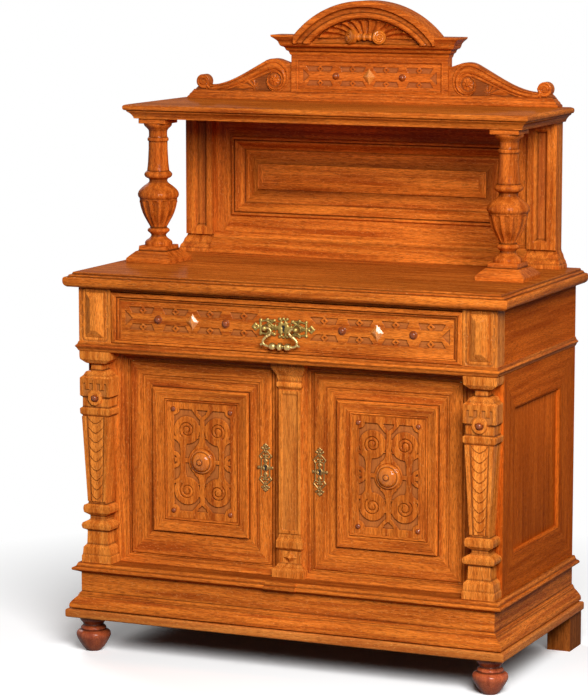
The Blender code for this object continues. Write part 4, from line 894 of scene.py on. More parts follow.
@dataclass(frozen=True)
class OakFinish:
    """Quarter-sawn and plain-sawn oak, planed, stained and waxed.

    It gives the eye long dark pores, bands of early and late wood, pale ray flecks across the fibres, a
    slow drift of tone between boards, darker colour in the hollows that is partly wax and partly painted
    shade, a greyer matted ground in the carving, and a satin sheen. The patterns' sizes are their mean length
    along the fibres and width across them, in millimetres.
    """

    name: str
    early: str
    late: str
    pore: str
    fleck: str
    # The colour of the hollows: partly wax, partly painted shade.
    wax_and_shade: str
    matted: str
    roughness: float
    coat: float = 0.10
    coat_roughness: float = 0.16
    band_mm: Span = (280.0, 12.6)
    # Real pores are about 0.3 mm wide; they are drawn coarser here, so that they show.
    pore_mm: Span = (18.0, 1.3)
    fleck_mm: Span = (7.0, 3.2)
    drift_mm: Span = (420.0, 160.0)
    punch_mm: Span = (2.0, 2.0)
    drift: Span = (0.84, 1.13)
    pore_share: float = 0.60
    ground_share: float = 0.60
    wax_and_shade_share: float = 0.80
    bump: Span = (0.16, 0.0011)

    def make(self, along: Grain | None = None) -> bpy.types.Material:
        """Builds the material.

        Args:
            along: Fibre direction on a solid that has no fibre attribute; None reads the attribute.

        Returns:
            The material.
        """
        material, tree = blank(self.name if along is None else f"{self.name} along {along.name.lower()}")
        if along is None:
            fibre = add(tree, "Attribute", attribute_name="grain").outputs["Vector"]
        else:
            split = add(tree, "SeparateXYZ", {0: add(tree, "TexCoord").outputs["Object"]}).outputs
            fibre = add(tree, "CombineXYZ", {i: split[axis] for i, axis in enumerate(along.value)}).outputs[0]

        def pattern(size: Span, detail: float, bend: float = 0.0) -> Socket:
            """Noise drawn out along the fibres.

            Args:
                size: Mean length and width, in millimetres.
                detail: How many finer layers are added.
                bend: How much the lines wander.

            Returns:
                The noise.
            """
            scale = (1000 / size[0], 1000 / size[1], 1000 / size[1])
            place = add(tree, "VectorMath", {0: fibre, 1: scale}, operation="MULTIPLY").outputs[0]
            inputs = {"Vector": place, "Scale": 1.0, "Detail": detail, "Roughness": 0.55, "Distortion": bend}
            return add(tree, "TexNoise", inputs).outputs[0]

        pores, flecks = pattern(self.pore_mm, 2.0, 0.1), pattern(self.fleck_mm, 1.0)
        bands, drift = pattern(self.band_mm, 3.0, 0.35), pattern(self.drift_mm, 1.0)
        stops = ((0.34, linear(self.late)), (0.62, linear(self.early)))
        colour = add(tree, "ValToRGB", {0: bands}, stops=stops).outputs[0]
        stops = ((0.38, shade(1.0)), (0.53, shade(0.0)))
        lines = add(tree, "ValToRGB", {0: pores}, stops=stops).outputs[0]
        lines = add(tree, "Math", {0: lines, 1: self.pore_share}, operation="MULTIPLY").outputs[0]
        colour = add(tree, "Mix", {0: lines, 6: colour, 7: linear(self.pore)}, data_type="RGBA").outputs[2]
        stops = ((0.60, shade(0.0)), (0.74, shade(0.38)))
        spots = add(tree, "ValToRGB", {0: flecks}, stops=stops).outputs[0]
        colour = add(tree, "Mix", {0: spots, 6: colour, 7: linear(self.fleck)}, data_type="RGBA").outputs[2]
        low, high = self.drift
        tone = add(tree, "MapRange", {0: drift, 1: 0.3, 2: 0.7, 3: low, 4: high}).outputs[0]
        colour = add(tree, "HueSaturation", {"Value": tone, "Color": colour}).outputs[0]
        dry, waxed = self.roughness + 0.14, self.roughness
        sheen = add(tree, "MapRange", {0: pores, 1: 0.35, 2: 0.65, 3: dry, 4: waxed}).outputs[0]
        relief = add(tree, "Math", {0: pores, 1: flecks}, operation="ADD").outputs[0]
        if along is None:
            ground = add(tree, "Attribute", attribute_name="ground").outputs["Fac"]
            ground = add(tree, "Math", {0: ground, 1: self.ground_share}, operation="MULTIPLY").outputs[0]
            layers = {0: ground, 6: colour, 7: linear(self.matted)}
            colour = add(tree, "Mix", layers, data_type="RGBA").outputs[2]
            # Darker colour in the hollows: partly wax, partly painted shade.
            hollow = add(tree, "Attribute", attribute_name="hollow").outputs["Fac"]
            hollow = add(tree, "Math", {0: hollow, 1: self.wax_and_shade_share}, operation="MULTIPLY").outputs[0]
            layers = {0: hollow, 6: colour, 7: linear(self.wax_and_shade)}
            colour = add(tree, "Mix", layers, data_type="RGBA").outputs[2]
            sheen = add(tree, "Math", {0: ground, 1: 0.3, 2: sheen}, operation="MULTIPLY_ADD").outputs[0]
            # Dots punched into the sunk ground only.
            dots = pattern(self.punch_mm, 0.0)
            dots = add(tree, "Math", {0: dots, 1: ground}, operation="MULTIPLY").outputs[0]
            relief = add(tree, "Math", {0: dots, 1: 5.0, 2: relief}, operation="MULTIPLY_ADD").outputs[0]
        height = {"Strength": self.bump[0], "Distance": self.bump[1], "Height": relief}
        inputs = {"Base Color": colour, "Roughness": sheen, "Specular IOR Level": 0.0}
        inputs |= {"Coat Weight": self.coat, "Coat Roughness": self.coat_roughness}
        inputs |= {"Normal": add(tree, "Bump", height).outputs[0]}
        add(tree, "OutputMaterial", {0: add(tree, "BsdfPrincipled", inputs).outputs[0]})
        return material


@dataclass(frozen=True)
class MetalFinish:
    """Aged cast or forged metal: bright on the crowns, brown or black in the hollows, softly glossy."""

    name: str
    bright: str
    dull: str
    metallic: float
    roughness: float
    grit_mm: float

    def make(self) -> bpy.types.Material:
        """Builds the material.

        Returns:
            The material.
        """
        material, tree = blank(self.name)
        place = add(tree, "TexCoord").outputs["Object"]
        clouds = {"Vector": place, "Scale": 1000 / (9 * self.grit_mm), "Detail": 4.0, "Roughness": 0.6}
        patches = add(tree, "TexNoise", clouds).outputs[0]
        grit = {"Vector": place, "Scale": 1000 / self.grit_mm, "Detail": 2.0}
        pits = add(tree, "TexNoise", grit).outputs[0]
        hollow = add(tree, "Attribute", attribute_name="hollow").outputs["Fac"]
        darkening = add(tree, "MapRange", {0: patches, 1: 0.42, 2: 0.72, 3: 0.0, 4: 0.55}).outputs[0]
        darkening = add(tree, "Math", {0: darkening, 1: hollow}, operation="MAXIMUM").outputs[0]
        layers = {0: darkening, 6: linear(self.bright), 7: linear(self.dull)}
        colour = add(tree, "Mix", layers, data_type="RGBA").outputs[2]
        worn, rough = self.roughness, self.roughness + 0.22
        gloss = add(tree, "MapRange", {0: darkening, 1: 0.0, 2: 1.0, 3: worn, 4: rough}).outputs[0]
        bump = add(tree, "Bump", {"Strength": 0.2, "Distance": 0.0006, "Height": pits}).outputs[0]
        inputs = {"Base Color": colour, "Metallic": self.metallic, "Roughness": gloss, "Normal": bump}
        add(tree, "OutputMaterial", {0: add(tree, "BsdfPrincipled", inputs).outputs[0]})
        return material


# Golden wood with dark pores and a low satin: boards, frames and mouldings.
OAK = OakFinish(
    "waxed golden oak", "#DE7828", "#A84C15", "#602408", "#E0924A", "#2E0D03", "#A05E30", 0.42, 0.06
)
# A lighter, drier gold: pilasters and corner blocks.
PALE_OAK = OakFinish(
    "planed golden oak", "#E88834", "#BC5E1A", "#702E0A", "#EAA052", "#34100A", "#AC6A34", 0.40, 0.08
)
# Redder and darker than the front's oak, as painted shade, and nearly matt, so that the sides lie back: side
# frames, side panels and frieze sides.
SIDE_OAK = OakFinish(
    "waxed oak with painted side shade", "#CC6119", "#AA480E", "#6E2806", "#D07630", "#280A02", "#8A4A20", 0.50, 0.03,
    0.30
)
# Even wood with a clear bright spot of light: the doors' bosses and the shell's bolster.
POLISHED_OAK = OakFinish(
    "hand-polished turned oak", "#D87824", "#C26418", "#8E4410", "#DC8836", "#2E0D03", "#A4663C", 0.34,
    0.42, 0.05
)
# Pale facets that mirror the light: diamond points.
POINT_OAK = OakFinish(
    "polished pale oak points", "#E68E3E", "#D27A2C", "#A0541A", "#E89C50", "#34100A", "#A4663C", 0.34,
    0.90, 0.05
)
# Small dark domes, rubbed to a gloss: studs and small bosses.
BOSS_OAK = OakFinish(
    "rubbed brown turned oak", "#9C4A16", "#843A10", "#5C260A", "#A4541E", "#240A03", "#8A4A20", 0.34, 0.70,
    0.12
)
# A deeper chestnut, whose hollows are darkened partly as wax and partly as painted shade: crest and columns.
CREST_OAK = OakFinish(
    "waxed chestnut oak", "#D46C22", "#A44A12", "#602206", "#DA8A42", "#2A0B03", "#985830", 0.40, 0.08, 0.10
)
# A paler, drier edge with little sheen: the plinth's base board.
SAWN_OAK = OakFinish(
    "planed pale oak edge", "#D07A34", "#B65E24", "#7E3A14", "#E2A65C", "#33110A", "#A4663C", 0.46, 0.08
)
# Raw wood without stain or sheen: inside and back.
INNER_OAK = OakFinish(
    "plain unstained oak", "#C8925A", "#B27C48", "#8A5C34", "#D4AA78", "#6B4426", "#A67A50", 0.55, 0.0
)
# Red-brown wood with a soft gloss: bun feet.
STAINED_OAK = OakFinish(
    "red-brown stained oak", "#B85A32", "#9A4528", "#662A16", "#BE6B46", "#2E0E06", "#7A4630", 0.36, 0.30,
    0.12
)
# Dull dark brown: the block feet at the back.
FOOT_OAK = OakFinish(
    "sawn brown oak", "#94501E", "#783A12", "#481E08", "#A0602C", "#200A03", "#7A4424", 0.50, 0.04
)
# Yellow metal, bright on the crowns and brown below: bail, bolts and pivots.
BRASS = MetalFinish("aged cast brass", "#C2A468", "#55401F", 1.0, 0.30, 1.6)
# Duller yellow with a broad, soft gleam: the pull's plate.
WORN_BRASS = MetalFinish("worn cast brass plate", "#A3884A", "#3E2C14", 1.0, 0.44, 1.6)
# Brown metal, brighter on its crowns: escutcheons.
BRONZED = MetalFinish("bronzed cast brass", "#8F6E40", "#3A2612", 1.0, 0.42, 1.6)
# Matt black as painted shade: the discs behind the keyholes.
KEYHOLE = MetalFinish("black keyhole painted shade", "#0B0908", "#050404", 0.0, 0.80, 1.4)
# Dark grey metal with a faint gleam: locks.
IRON = MetalFinish("blackened iron", "#3A3634", "#161413", 0.6, 0.50, 1.4)


@dataclass(frozen=True)
class Carcass:
    """Levels and planes that the sub-assemblies share, in metres."""

    face: float = -0.2735
    back: float = 0.3005
    front: float = -0.2235
    door: float = -0.2085
    half: float = 0.55
    inside: float = 0.526
    plinth_base: float = 0.0905
    plinth: float = 0.1120
    ledge: float = 0.2043
    floor: float = 0.2293
    sill: float = 0.2505
    rail: float = 0.738
    waist: float = 0.764
    frieze: float = 0.788
    top: float = 0.925
    niche: float = 0.9616
    shelf: float = 1.3254
    crest: float = 1.3620
    tablet: float = 1.3850
    cornice: float = 1.478
    arch: float = 1.531

    @property
    def plan(self) -> tuple[Span, Span]:
        """Width and depth of the body."""
        return (-self.half, self.half), (self.face, self.back)


BODY = Carcass()


@dataclass
class Workshop:
    """Where pieces are given a finish, fitted to a body of the cabinet, and reported."""

    stock: dict[Slot, bpy.types.Material] = field(default_factory=dict)
    polished: bpy.types.Material = field(default_factory=POLISHED_OAK.make)
    rubbed: bpy.types.Material = field(default_factory=BOSS_OAK.make)
    pointed: bpy.types.Material = field(default_factory=POINT_OAK.make)
    pale: bpy.types.Material = field(default_factory=PALE_OAK.make)
    dark: bpy.types.Material = field(default_factory=SIDE_OAK.make)
    chestnut: bpy.types.Material = field(default_factory=CREST_OAK.make)
    keyhole: bpy.types.Material = field(default_factory=KEYHOLE.make)
    sawn: bpy.types.Material = field(default_factory=SAWN_OAK.make)
    bronzed: bpy.types.Material = field(default_factory=BRONZED.make)
    worn: bpy.types.Material = field(default_factory=WORN_BRASS.make)

    def __post_init__(self) -> None:
        """Makes the finishes of the new pieces."""
        for slot, finish in (
            (Slot.OAK, OAK), (Slot.INNER, INNER_OAK), (Slot.STAINED, STAINED_OAK), (Slot.BRASS, BRASS),
            (Slot.IRON, IRON)
        ):
            self.stock[slot] = finish.make()

    def fit(
        self,
        name: str,
        shape: Shape,
        *nodes: str,
        body: str = "carcass",
        slot: Slot = Slot.OAK,
        material: bpy.types.Material | None = None,
    ) -> bpy.types.Object:
        """Builds a piece and fits it to the frame.

        Args:
            name: Name of the piece.
            shape: Its surface.
            nodes: The solids that it stands for.
            body: The body that it moves with.
            slot: Its finish.
            material: Its material, where it differs from the usual one of its finish.

        Returns:
            The piece.
        """
        piece = shape.build(name, material or self.stock[slot])
        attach(piece, body)
        if nodes:
            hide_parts(*nodes)
        LOG.info("%s: %d faces", name, len(piece.data.polygons))
        return piece


@dataclass
class Plinth:
    """Bun feet, the base board and the plinth with its ogee foot."""

    wall: float = 0.070
    base_out: Span = (0.033, 0.027)
    plinth_out: Span = (0.025, 0.021)
    foot_radius: float = 0.0437
    foot_height: float = 0.0902
    foot_place: Span = (0.531, -0.2475)

    def make(self, shop: Workshop) -> None:
        """Builds the plinth's pieces.

        Args:
            shop: The workshop that finishes and fits them.
        """
        rounded = [(0.88, 0), (0.97, 0.07), (1, 0.22), (1, 0.80), (0.97, 0.93), (0.90, 1)]
        base = moulded(rounded, *BODY.plan, (BODY.plinth_base, 0.1117), *self.base_out, bore=self.wall)
        shop.fit("plinth_base_board", base, "plinth_base", material=shop.sawn)
        ogee = [
            (0.78, 0), (0.78, 0.022), (1.0, 0.030), (1, 0.10), (0.95, 0.155), (0.74, 0.23), (0.46, 0.305),
            (0.30, 0.345), (0.27, 0.36), (0.27, 0.385), (0.19, 0.392), (0.19, 0.43), (0.10, 0.437),
            (0.07, 0.455), (0.0, 0.462), (0, 1)
        ]
        shop.fit(
            "plinth_board",
            moulded(ogee, *BODY.plan, (BODY.plinth, 0.2040), *self.plinth_out, bore=self.wall),
            "plinth_frame"
        )
        bun = [
            (0.79, 1), (0.79, 0.88), (0.62, 0.80), (0.57, 0.74), (0.70, 0.69), (0.75, 0.65), (0.70, 0.61),
            (0.88, 0.575), (0.97, 0.53), (1, 0.47), (0.97, 0.40), (0.88, 0.31), (0.76, 0.21), (0.64, 0.12),
            (0.48, 0.03), (0.40, 0)
        ]
        for label, side in SIDES.items():
            foot = turned(
                bun, (side * self.foot_place[0], self.foot_place[1], 0.0), self.foot_radius,
                self.foot_height
            )
            shop.fit(f"bun_foot_{label}", foot, f"{label}_front_foot", slot=Slot.STAINED)


@dataclass
class Cupboard:
    """The carcass round the doors: ledge, waist, sides, back planks, stiles, surrounds and pilasters."""

    opening: Span = (0.0545, 0.4425)
    splay: float = 0.0265
    splay_depth: float = 0.016
    bolt_y: Span = (-0.1837, -0.1757)
    bolt_z: Span = (0.4853, 0.5033)
    bolt_sink: float = 0.0090
    frame_depth: float = 0.055
    pilaster: float = 0.085
    pilaster_set: float = 0.020
    centre_pilaster: float = 0.0896
    centre_front: float = 0.0345
    centre_set: float = 0.045
    side_edges: tuple[float, float, float, float] = (0.085, 0.114, 0.0967, 0.094)
    planks: int = 6

    def make(self, shop: Workshop) -> None:
        """Builds the cupboard's pieces.

        Args:
            shop: The workshop that finishes and fits them.
        """
        torus = [
            (0.10, 0), (0.45, 0.12), (0.92, 0.22), (1, 0.36), (0.92, 0.52), (0.55, 0.60), (0.42, 0.82),
            (0.30, 1)
        ]
        ledge = moulded(torus, *BODY.plan, (BODY.ledge, BODY.floor), 0.0204, 0.016, jut=(0.0375, 0.005))
        beak = [(0, 0), (0.30, 0.12), (0.55, 0.34), (1, 0.52), (0.70, 0.66), (0.35, 0.76), (0.20, 1)]
        waist = moulded(beak, *BODY.plan, (BODY.waist + GAP, BODY.frieze), 0.009, 0.008)
        sills, rails = zip(*(self.surround(side) for side in SIDES.values()))
        # The ledge's top is darkened at half strength, in the colour of the hollows.
        ledge.hollow[-8:] = 0.5
        shop.fit("ledge_board", Shape.join(ledge, *sills), "bottom_board")
        shop.fit("waist_moulding", waist, "waist_board")
        shop.fit("door_surrounds", Shape.join(*rails))
        self.sides(shop)
        self.stiles(shop)

    def surround(self, side: int) -> tuple[Shape, Shape]:
        """The sill's board behind a door opening, and the splayed and moulded frame round the opening.

        Args:
            side: -1 for the left opening, 1 for the right one.

        Returns:
            The board and the frame.
        """
        x = sorted((side * (self.opening[0] - self.splay), side * (self.opening[1] + self.splay)))
        z = (BODY.floor + 0.0002, BODY.waist)
        steps = [
            (0, 0), (0.04, 0), (0.26, 0.24), (0.48, 0.40), (0.54, 0.56), (0.70, 0.72), (0.87, 0.78),
            (0.90, 0.92), (1, 1)
        ]
        back = BODY.front + self.frame_depth
        section = framing(steps, (self.splay, self.splay_depth), BODY.front, back, 0.0015)
        frame = ring(x, z, section, (self.splay, self.splay, BODY.sill - BODY.floor, BODY.waist - BODY.rail))
        # The edge beside the centre stile is put back with the mortise that the door's bolt enters.
        rows = frame.points.reshape(-1, 4, 3)
        column = 3 if side > 0 else 1
        keep = np.arange(len(frame.faces)) != 4 * (len(rows) - 2) + column
        frame = Shape(
            frame.points, frame.faces[keep], frame.grains[keep], frame.members[keep], frame.hollow,
            frame.ground
        )
        a, b = column, (column + 1) % 4
        face = np.array([rows[-2, a], rows[-1, a], rows[-1, b], rows[-2, b]])
        up = self.bolt_z if face[0, 2] < face[2, 2] else self.bolt_z[::-1]
        mouth = [
            (face[0, 0], y, z)
            for y, z in zip((*self.bolt_y, *self.bolt_y[::-1]), (up[0], up[0], up[1], up[1]))
        ]
        frame = Shape.join(frame, mortise(face, np.array(mouth), (-side * self.bolt_sink, 0.0, 0.0)))
        board = block((x[0] + 0.002, x[1] - 0.002), (BODY.front + 0.02, back), (0.2240, 0.2300), Grain.WIDTH)
        return board, frame

    def sides(self, shop: Workshop) -> None:
        """Builds the framed and panelled sides, and the planks of the back.

        Args:
            shop: The workshop that finishes and fits them.
        """
        y, z = (BODY.front + GAP, BODY.back), (BODY.floor + GAP, BODY.waist)
        front, rear, low, high = self.side_edges
        hole = (y[0] + front, y[1] - rear), (z[0] + low, z[1] - high)
        slope = np.array(
            [
                (-0.0075, 0.0), (-0.0065, 0.0012), (-0.0040, 0.0016), (-0.0012, 0.0042), (0.0, 0.0062),
                (0.0, 0.0120)
            ]
        )
        slope = spaced(softened(slope, 1), 0.001)
        inner = np.stack([slope[:, 0], -BODY.half + slope[:, 1]], axis=1)
        for label, side in SIDES.items():
            frame = ring(*hole, np.concatenate([inner, [(0.0, -BODY.inside)]]))
            outer = rectangles(y, z, (-BODY.inside, -BODY.half))
            rows = np.concatenate([outer, frame.points.reshape(-1, 4, 3)])
            edge = np.concatenate([np.zeros(2), frame.hollow.reshape(-1, 4)[:, 0]])
            whole = Shape.grid(rows, True, True, MITRED, edge[:, None])
            shop.fit(f"side_framing_{label}", whole.on_side(side), f"{label}_side_frame", material=shop.dark)
            field = block(
                (hole[0][0] - 0.006, hole[0][1] + 0.006), (-BODY.half + 0.0102, -BODY.half + 0.0182),
                (hole[1][0] - 0.006, hole[1][1] + 0.006), Grain.HEIGHT
            )
            shop.fit(f"side_field_{label}", field.on_side(side), f"{label}_side_panel", material=shop.dark)
        width = 2 * (BODY.inside - GAP) / self.planks
        boards = []
        for plank in range(self.planks):
            left = -BODY.inside + GAP + plank * width
            boards.append(
                block(
                    (left + GAP, left + width - GAP), (BODY.back - 0.018, BODY.back - 0.0004),
                    (BODY.floor + GAP, BODY.top), Grain.HEIGHT, 0.0022
                )
            )
        shop.fit("back_planks", Shape.join(*boards), "back_board", slot=Slot.INNER)

    def shaft(
        self,
        profile: Outline,
        middle: float,
        width: float,
        front: float,
        setback: float,
        back: float,
    ) -> Shape:
        """A square pilaster: level rectangles, as wide as the profile says and set back where narrow.

        Args:
            profile: (half width, up) as shares.
            middle: The x of its axis.
            width: Its largest width.
            front: Plane of its front where it is widest.
            setback: How far back the front would lie at no width.
            back: Plane of its back.

        Returns:
            The pilaster.
        """
        z = (BODY.floor + GAP, BODY.waist)
        section = spaced(eased(np.asarray(profile) * (width / 2, z[1] - z[0]), 0.0014), 0.002)
        half, up = section.T
        near = front + (1 - half / (width / 2)) * setback
        plan = [
            (middle - half, np.full_like(half, back)), (middle - half, near), (middle + half, near),
            (middle + half, np.full_like(half, back))
        ]
        points = level_loops(plan, z[0] + up)
        return Shape.grid(
            points, wrap_v=True, grains=Grain.HEIGHT, hollow=hollows(section, 1)[:, None], caps=Grain.HEIGHT
        )

    def stiles(self, shop: Workshop) -> None:
        """Builds the stiles beside the doors, the carved corner pilasters and the centre pilaster.

        Args:
            shop: The workshop that finishes and fits them.
        """
        z = (BODY.floor + GAP, BODY.waist)
        stepped = [
            (0.98, 0), (0.98, 0.031), (0.92, 0.038), (0.88, 0.072), (0.68, 0.088), (0.65, 0.152),
            (0.92, 0.160), (0.98, 0.176), (0.92, 0.188), (0.56, 0.202), (0.48, 0.210), (0.48, 0.222),
            (0.84, 0.238), (0.88, 0.256), (0.84, 0.272), (0.60, 0.280), (0.58, 0.290), (0.85, 0.698),
            (0.98, 0.706), (1, 0.730), (0.84, 0.738), (0.84, 0.784), (0.97, 0.790), (0.97, 0.876),
            (0.80, 0.886), (0.66, 0.904), (0.38, 0.910), (0.36, 0.938), (0.66, 0.944), (0.86, 0.956),
            (0.97, 0.962), (1, 0.976), (1, 1)
        ]
        for label, side in SIDES.items():
            x = sorted((side * (self.opening[1] + self.splay - 0.0002), side * (BODY.inside - GAP)))
            stile = block((x[0], x[1]), (BODY.front + GAP, BODY.front + self.frame_depth), z, Grain.HEIGHT)
            shop.fit(f"front_stile_{label}", stile, f"{label}_front_stile")
            middle = side * (BODY.half - self.pilaster / 2)
            post = self.shaft(stepped, middle, self.pilaster, BODY.face, self.pilaster_set, BODY.front)
            shop.fit(
                f"corner_pilaster_{label}", Shape.join(post, *self.pilaster_carving(middle)),
                f"{label}_corner_pilaster", material=shop.pale
            )
            boss = studs([(middle, 0.6480)], 0.0112, 0.0120, BODY.face + 0.002)
            shop.fit(f"pilaster_boss_{label}", Shape.join(*boss), material=shop.rubbed)
        plain = [
            (0.96, 0), (0.96, 0.036), (0.80, 0.048), (0.66, 0.064), (0.65, 0.124), (0.79, 0.136),
            (0.79, 0.166), (0.68, 0.186), (0.65, 0.200), (0.65, 0.872), (0.76, 0.884), (0.76, 0.898),
            (0.70, 0.908), (0.76, 0.936), (0.94, 0.962), (1, 0.976), (1, 1)
        ]
        near = BODY.face + self.centre_front
        post = self.shaft(plain, 0.0, self.centre_pilaster, near, self.centre_set, BODY.front + 0.026)
        narrow = near + 0.35 * self.centre_set
        half = self.opening[0] - self.splay + 0.0002
        stile = block((-half, half), (BODY.front + 0.010, BODY.front + self.frame_depth), z, Grain.HEIGHT)

        def panel(x: Array, z: Array) -> tuple[Array, Array]:
            """A long sunk panel with a small bead round it.

            Args:
                x: Places across.
                z: Heights.

            Returns:
                The rise and the share of matted ground.
            """
            far = plate(x, z, (0.0, 0.515), (0.0195, 0.168), 0.004)
            bead = 0.0008 * np.exp(-((far / 0.0016) ** 2))
            return 0.0005 + 0.0026 * (1 - lift(far - 0.001, 0.003)) + bead, 0.3 * lift(far, 0.002)

        def point(x: Array, z: Array) -> tuple[Array, Array]:
            """A four-sided diamond point."""
            tip = np.clip(-lozenge(x, z, (0.0, 0.2795), (0.019, 0.0135)) / 0.0095, 0.0, 1.0)
            return 0.0005 + 0.009 * tip, 0.0 * x

        sunk = carved((-0.029, 0.029), (0.3385, 0.692), narrow, narrow + 0.004, panel, Grain.HEIGHT)
        tip = carved((-0.0285, 0.0285), (0.2645, 0.2945), narrow, narrow + 0.004, point, Grain.HEIGHT, 0.001)
        shop.fit("centre_pilaster", Shape.join(stile, post, sunk, tip), "centre_stile", material=shop.pale)

    def pilaster_carving(self, middle: float) -> list[Shape]:
        """The carved scales on a corner pilaster's tapering face, its strapped block and its ringed boss.

        Args:
            middle: The x of the pilaster's axis.

        Returns:
            The scaled face, the strapped block and the boss's ring.
        """
        z = BODY.floor + GAP
        height = BODY.waist - z
        low, high = z + 0.292 * height, z + 0.694 * height
        up = np.linspace(low, high, 150)[:, None]
        across = np.linspace(-1.0, 1.0, 50)[None]
        share = (up - low) / (high - low)
        half = (0.58 + 0.27 * share) * self.pilaster / 2
        near = BODY.face + (1 - half / (self.pilaster / 2)) * self.pilaster_set
        # Overlapping scales: the distance up from the last scale's rounded lower edge, repeated every 24 mm.
        bowl = 0.018 * np.maximum(1 - np.abs(across / 0.62) ** 1.75, 0.0)
        climb = np.mod(up - low + bowl, 0.024) / 0.024
        scale = (0.0010 + 0.0030 * (1 - climb) ** 0.8) * lift(np.abs(across) - 0.57, 0.10)
        border = 0.0040 * lift(0.70 - np.abs(across), 0.06) + 0.0004 * lift(0.60 - np.abs(across), 0.05)
        rise = 0.0004 + scale + border + 0.0 * up
        front = np.stack([middle + across * half + 0.0 * up, near - rise, up + 0.0 * across], axis=-1)
        shaft = slab(
            front, BODY.face + 0.016, Grain.HEIGHT, sunken(rise, 2, 0.0017),
            0.5 * lift(rise - 0.0014, 0.0016)
        )

        def strap(x: Array, z: Array) -> tuple[Array, Array]:
            """Three teeth that hang into a sunk ground, over the ring of the boss.

            Args:
                x: Places across.
                z: Heights.

            Returns:
                The rise and the share of matted ground.
            """
            a, b = x - middle, z - 0.6725
            ground = np.minimum(
                plate(a, b, (0.0, -0.004), (0.0325, 0.0160), 0.003),
                plate(a, b, (0.0, -0.010), (0.0240, 0.0130), 0.006)
            )
            teeth = np.minimum.reduce(
                [plate(a, b, (place, 0.010), (0.0055, 0.0135)) for place in (-0.0205, 0.0, 0.0205)]
            )
            whole = np.minimum(teeth, disc(a, b, (0.0, -0.0245), 0.0215))
            sunk = lift(ground, 0.0014) * (1 - lift(whole, 0.0014))
            return 0.0030 * (1 - sunk) + 0.0004, sunk

        plated = carved(
            (middle - 0.0405, middle + 0.0405), (0.6525, 0.6970), BODY.face + 0.0006, BODY.face + 0.006,
            strap, Grain.HEIGHT, 0.001
        )
        flat_ring = [
            (0.50, 0.30), (0.56, 0.30), (0.60, 0.66), (0.64, 0.72), (0.93, 0.72), (0.98, 0.66), (1, 0.50),
            (1, 0)
        ]
        collar = turned(
            flat_ring, (middle, BODY.face + 0.0055, 0.6480), 0.0190, 0.0120, Facing.FRONT, 48, soft=0
        )
        return [shaft, plated, collar]


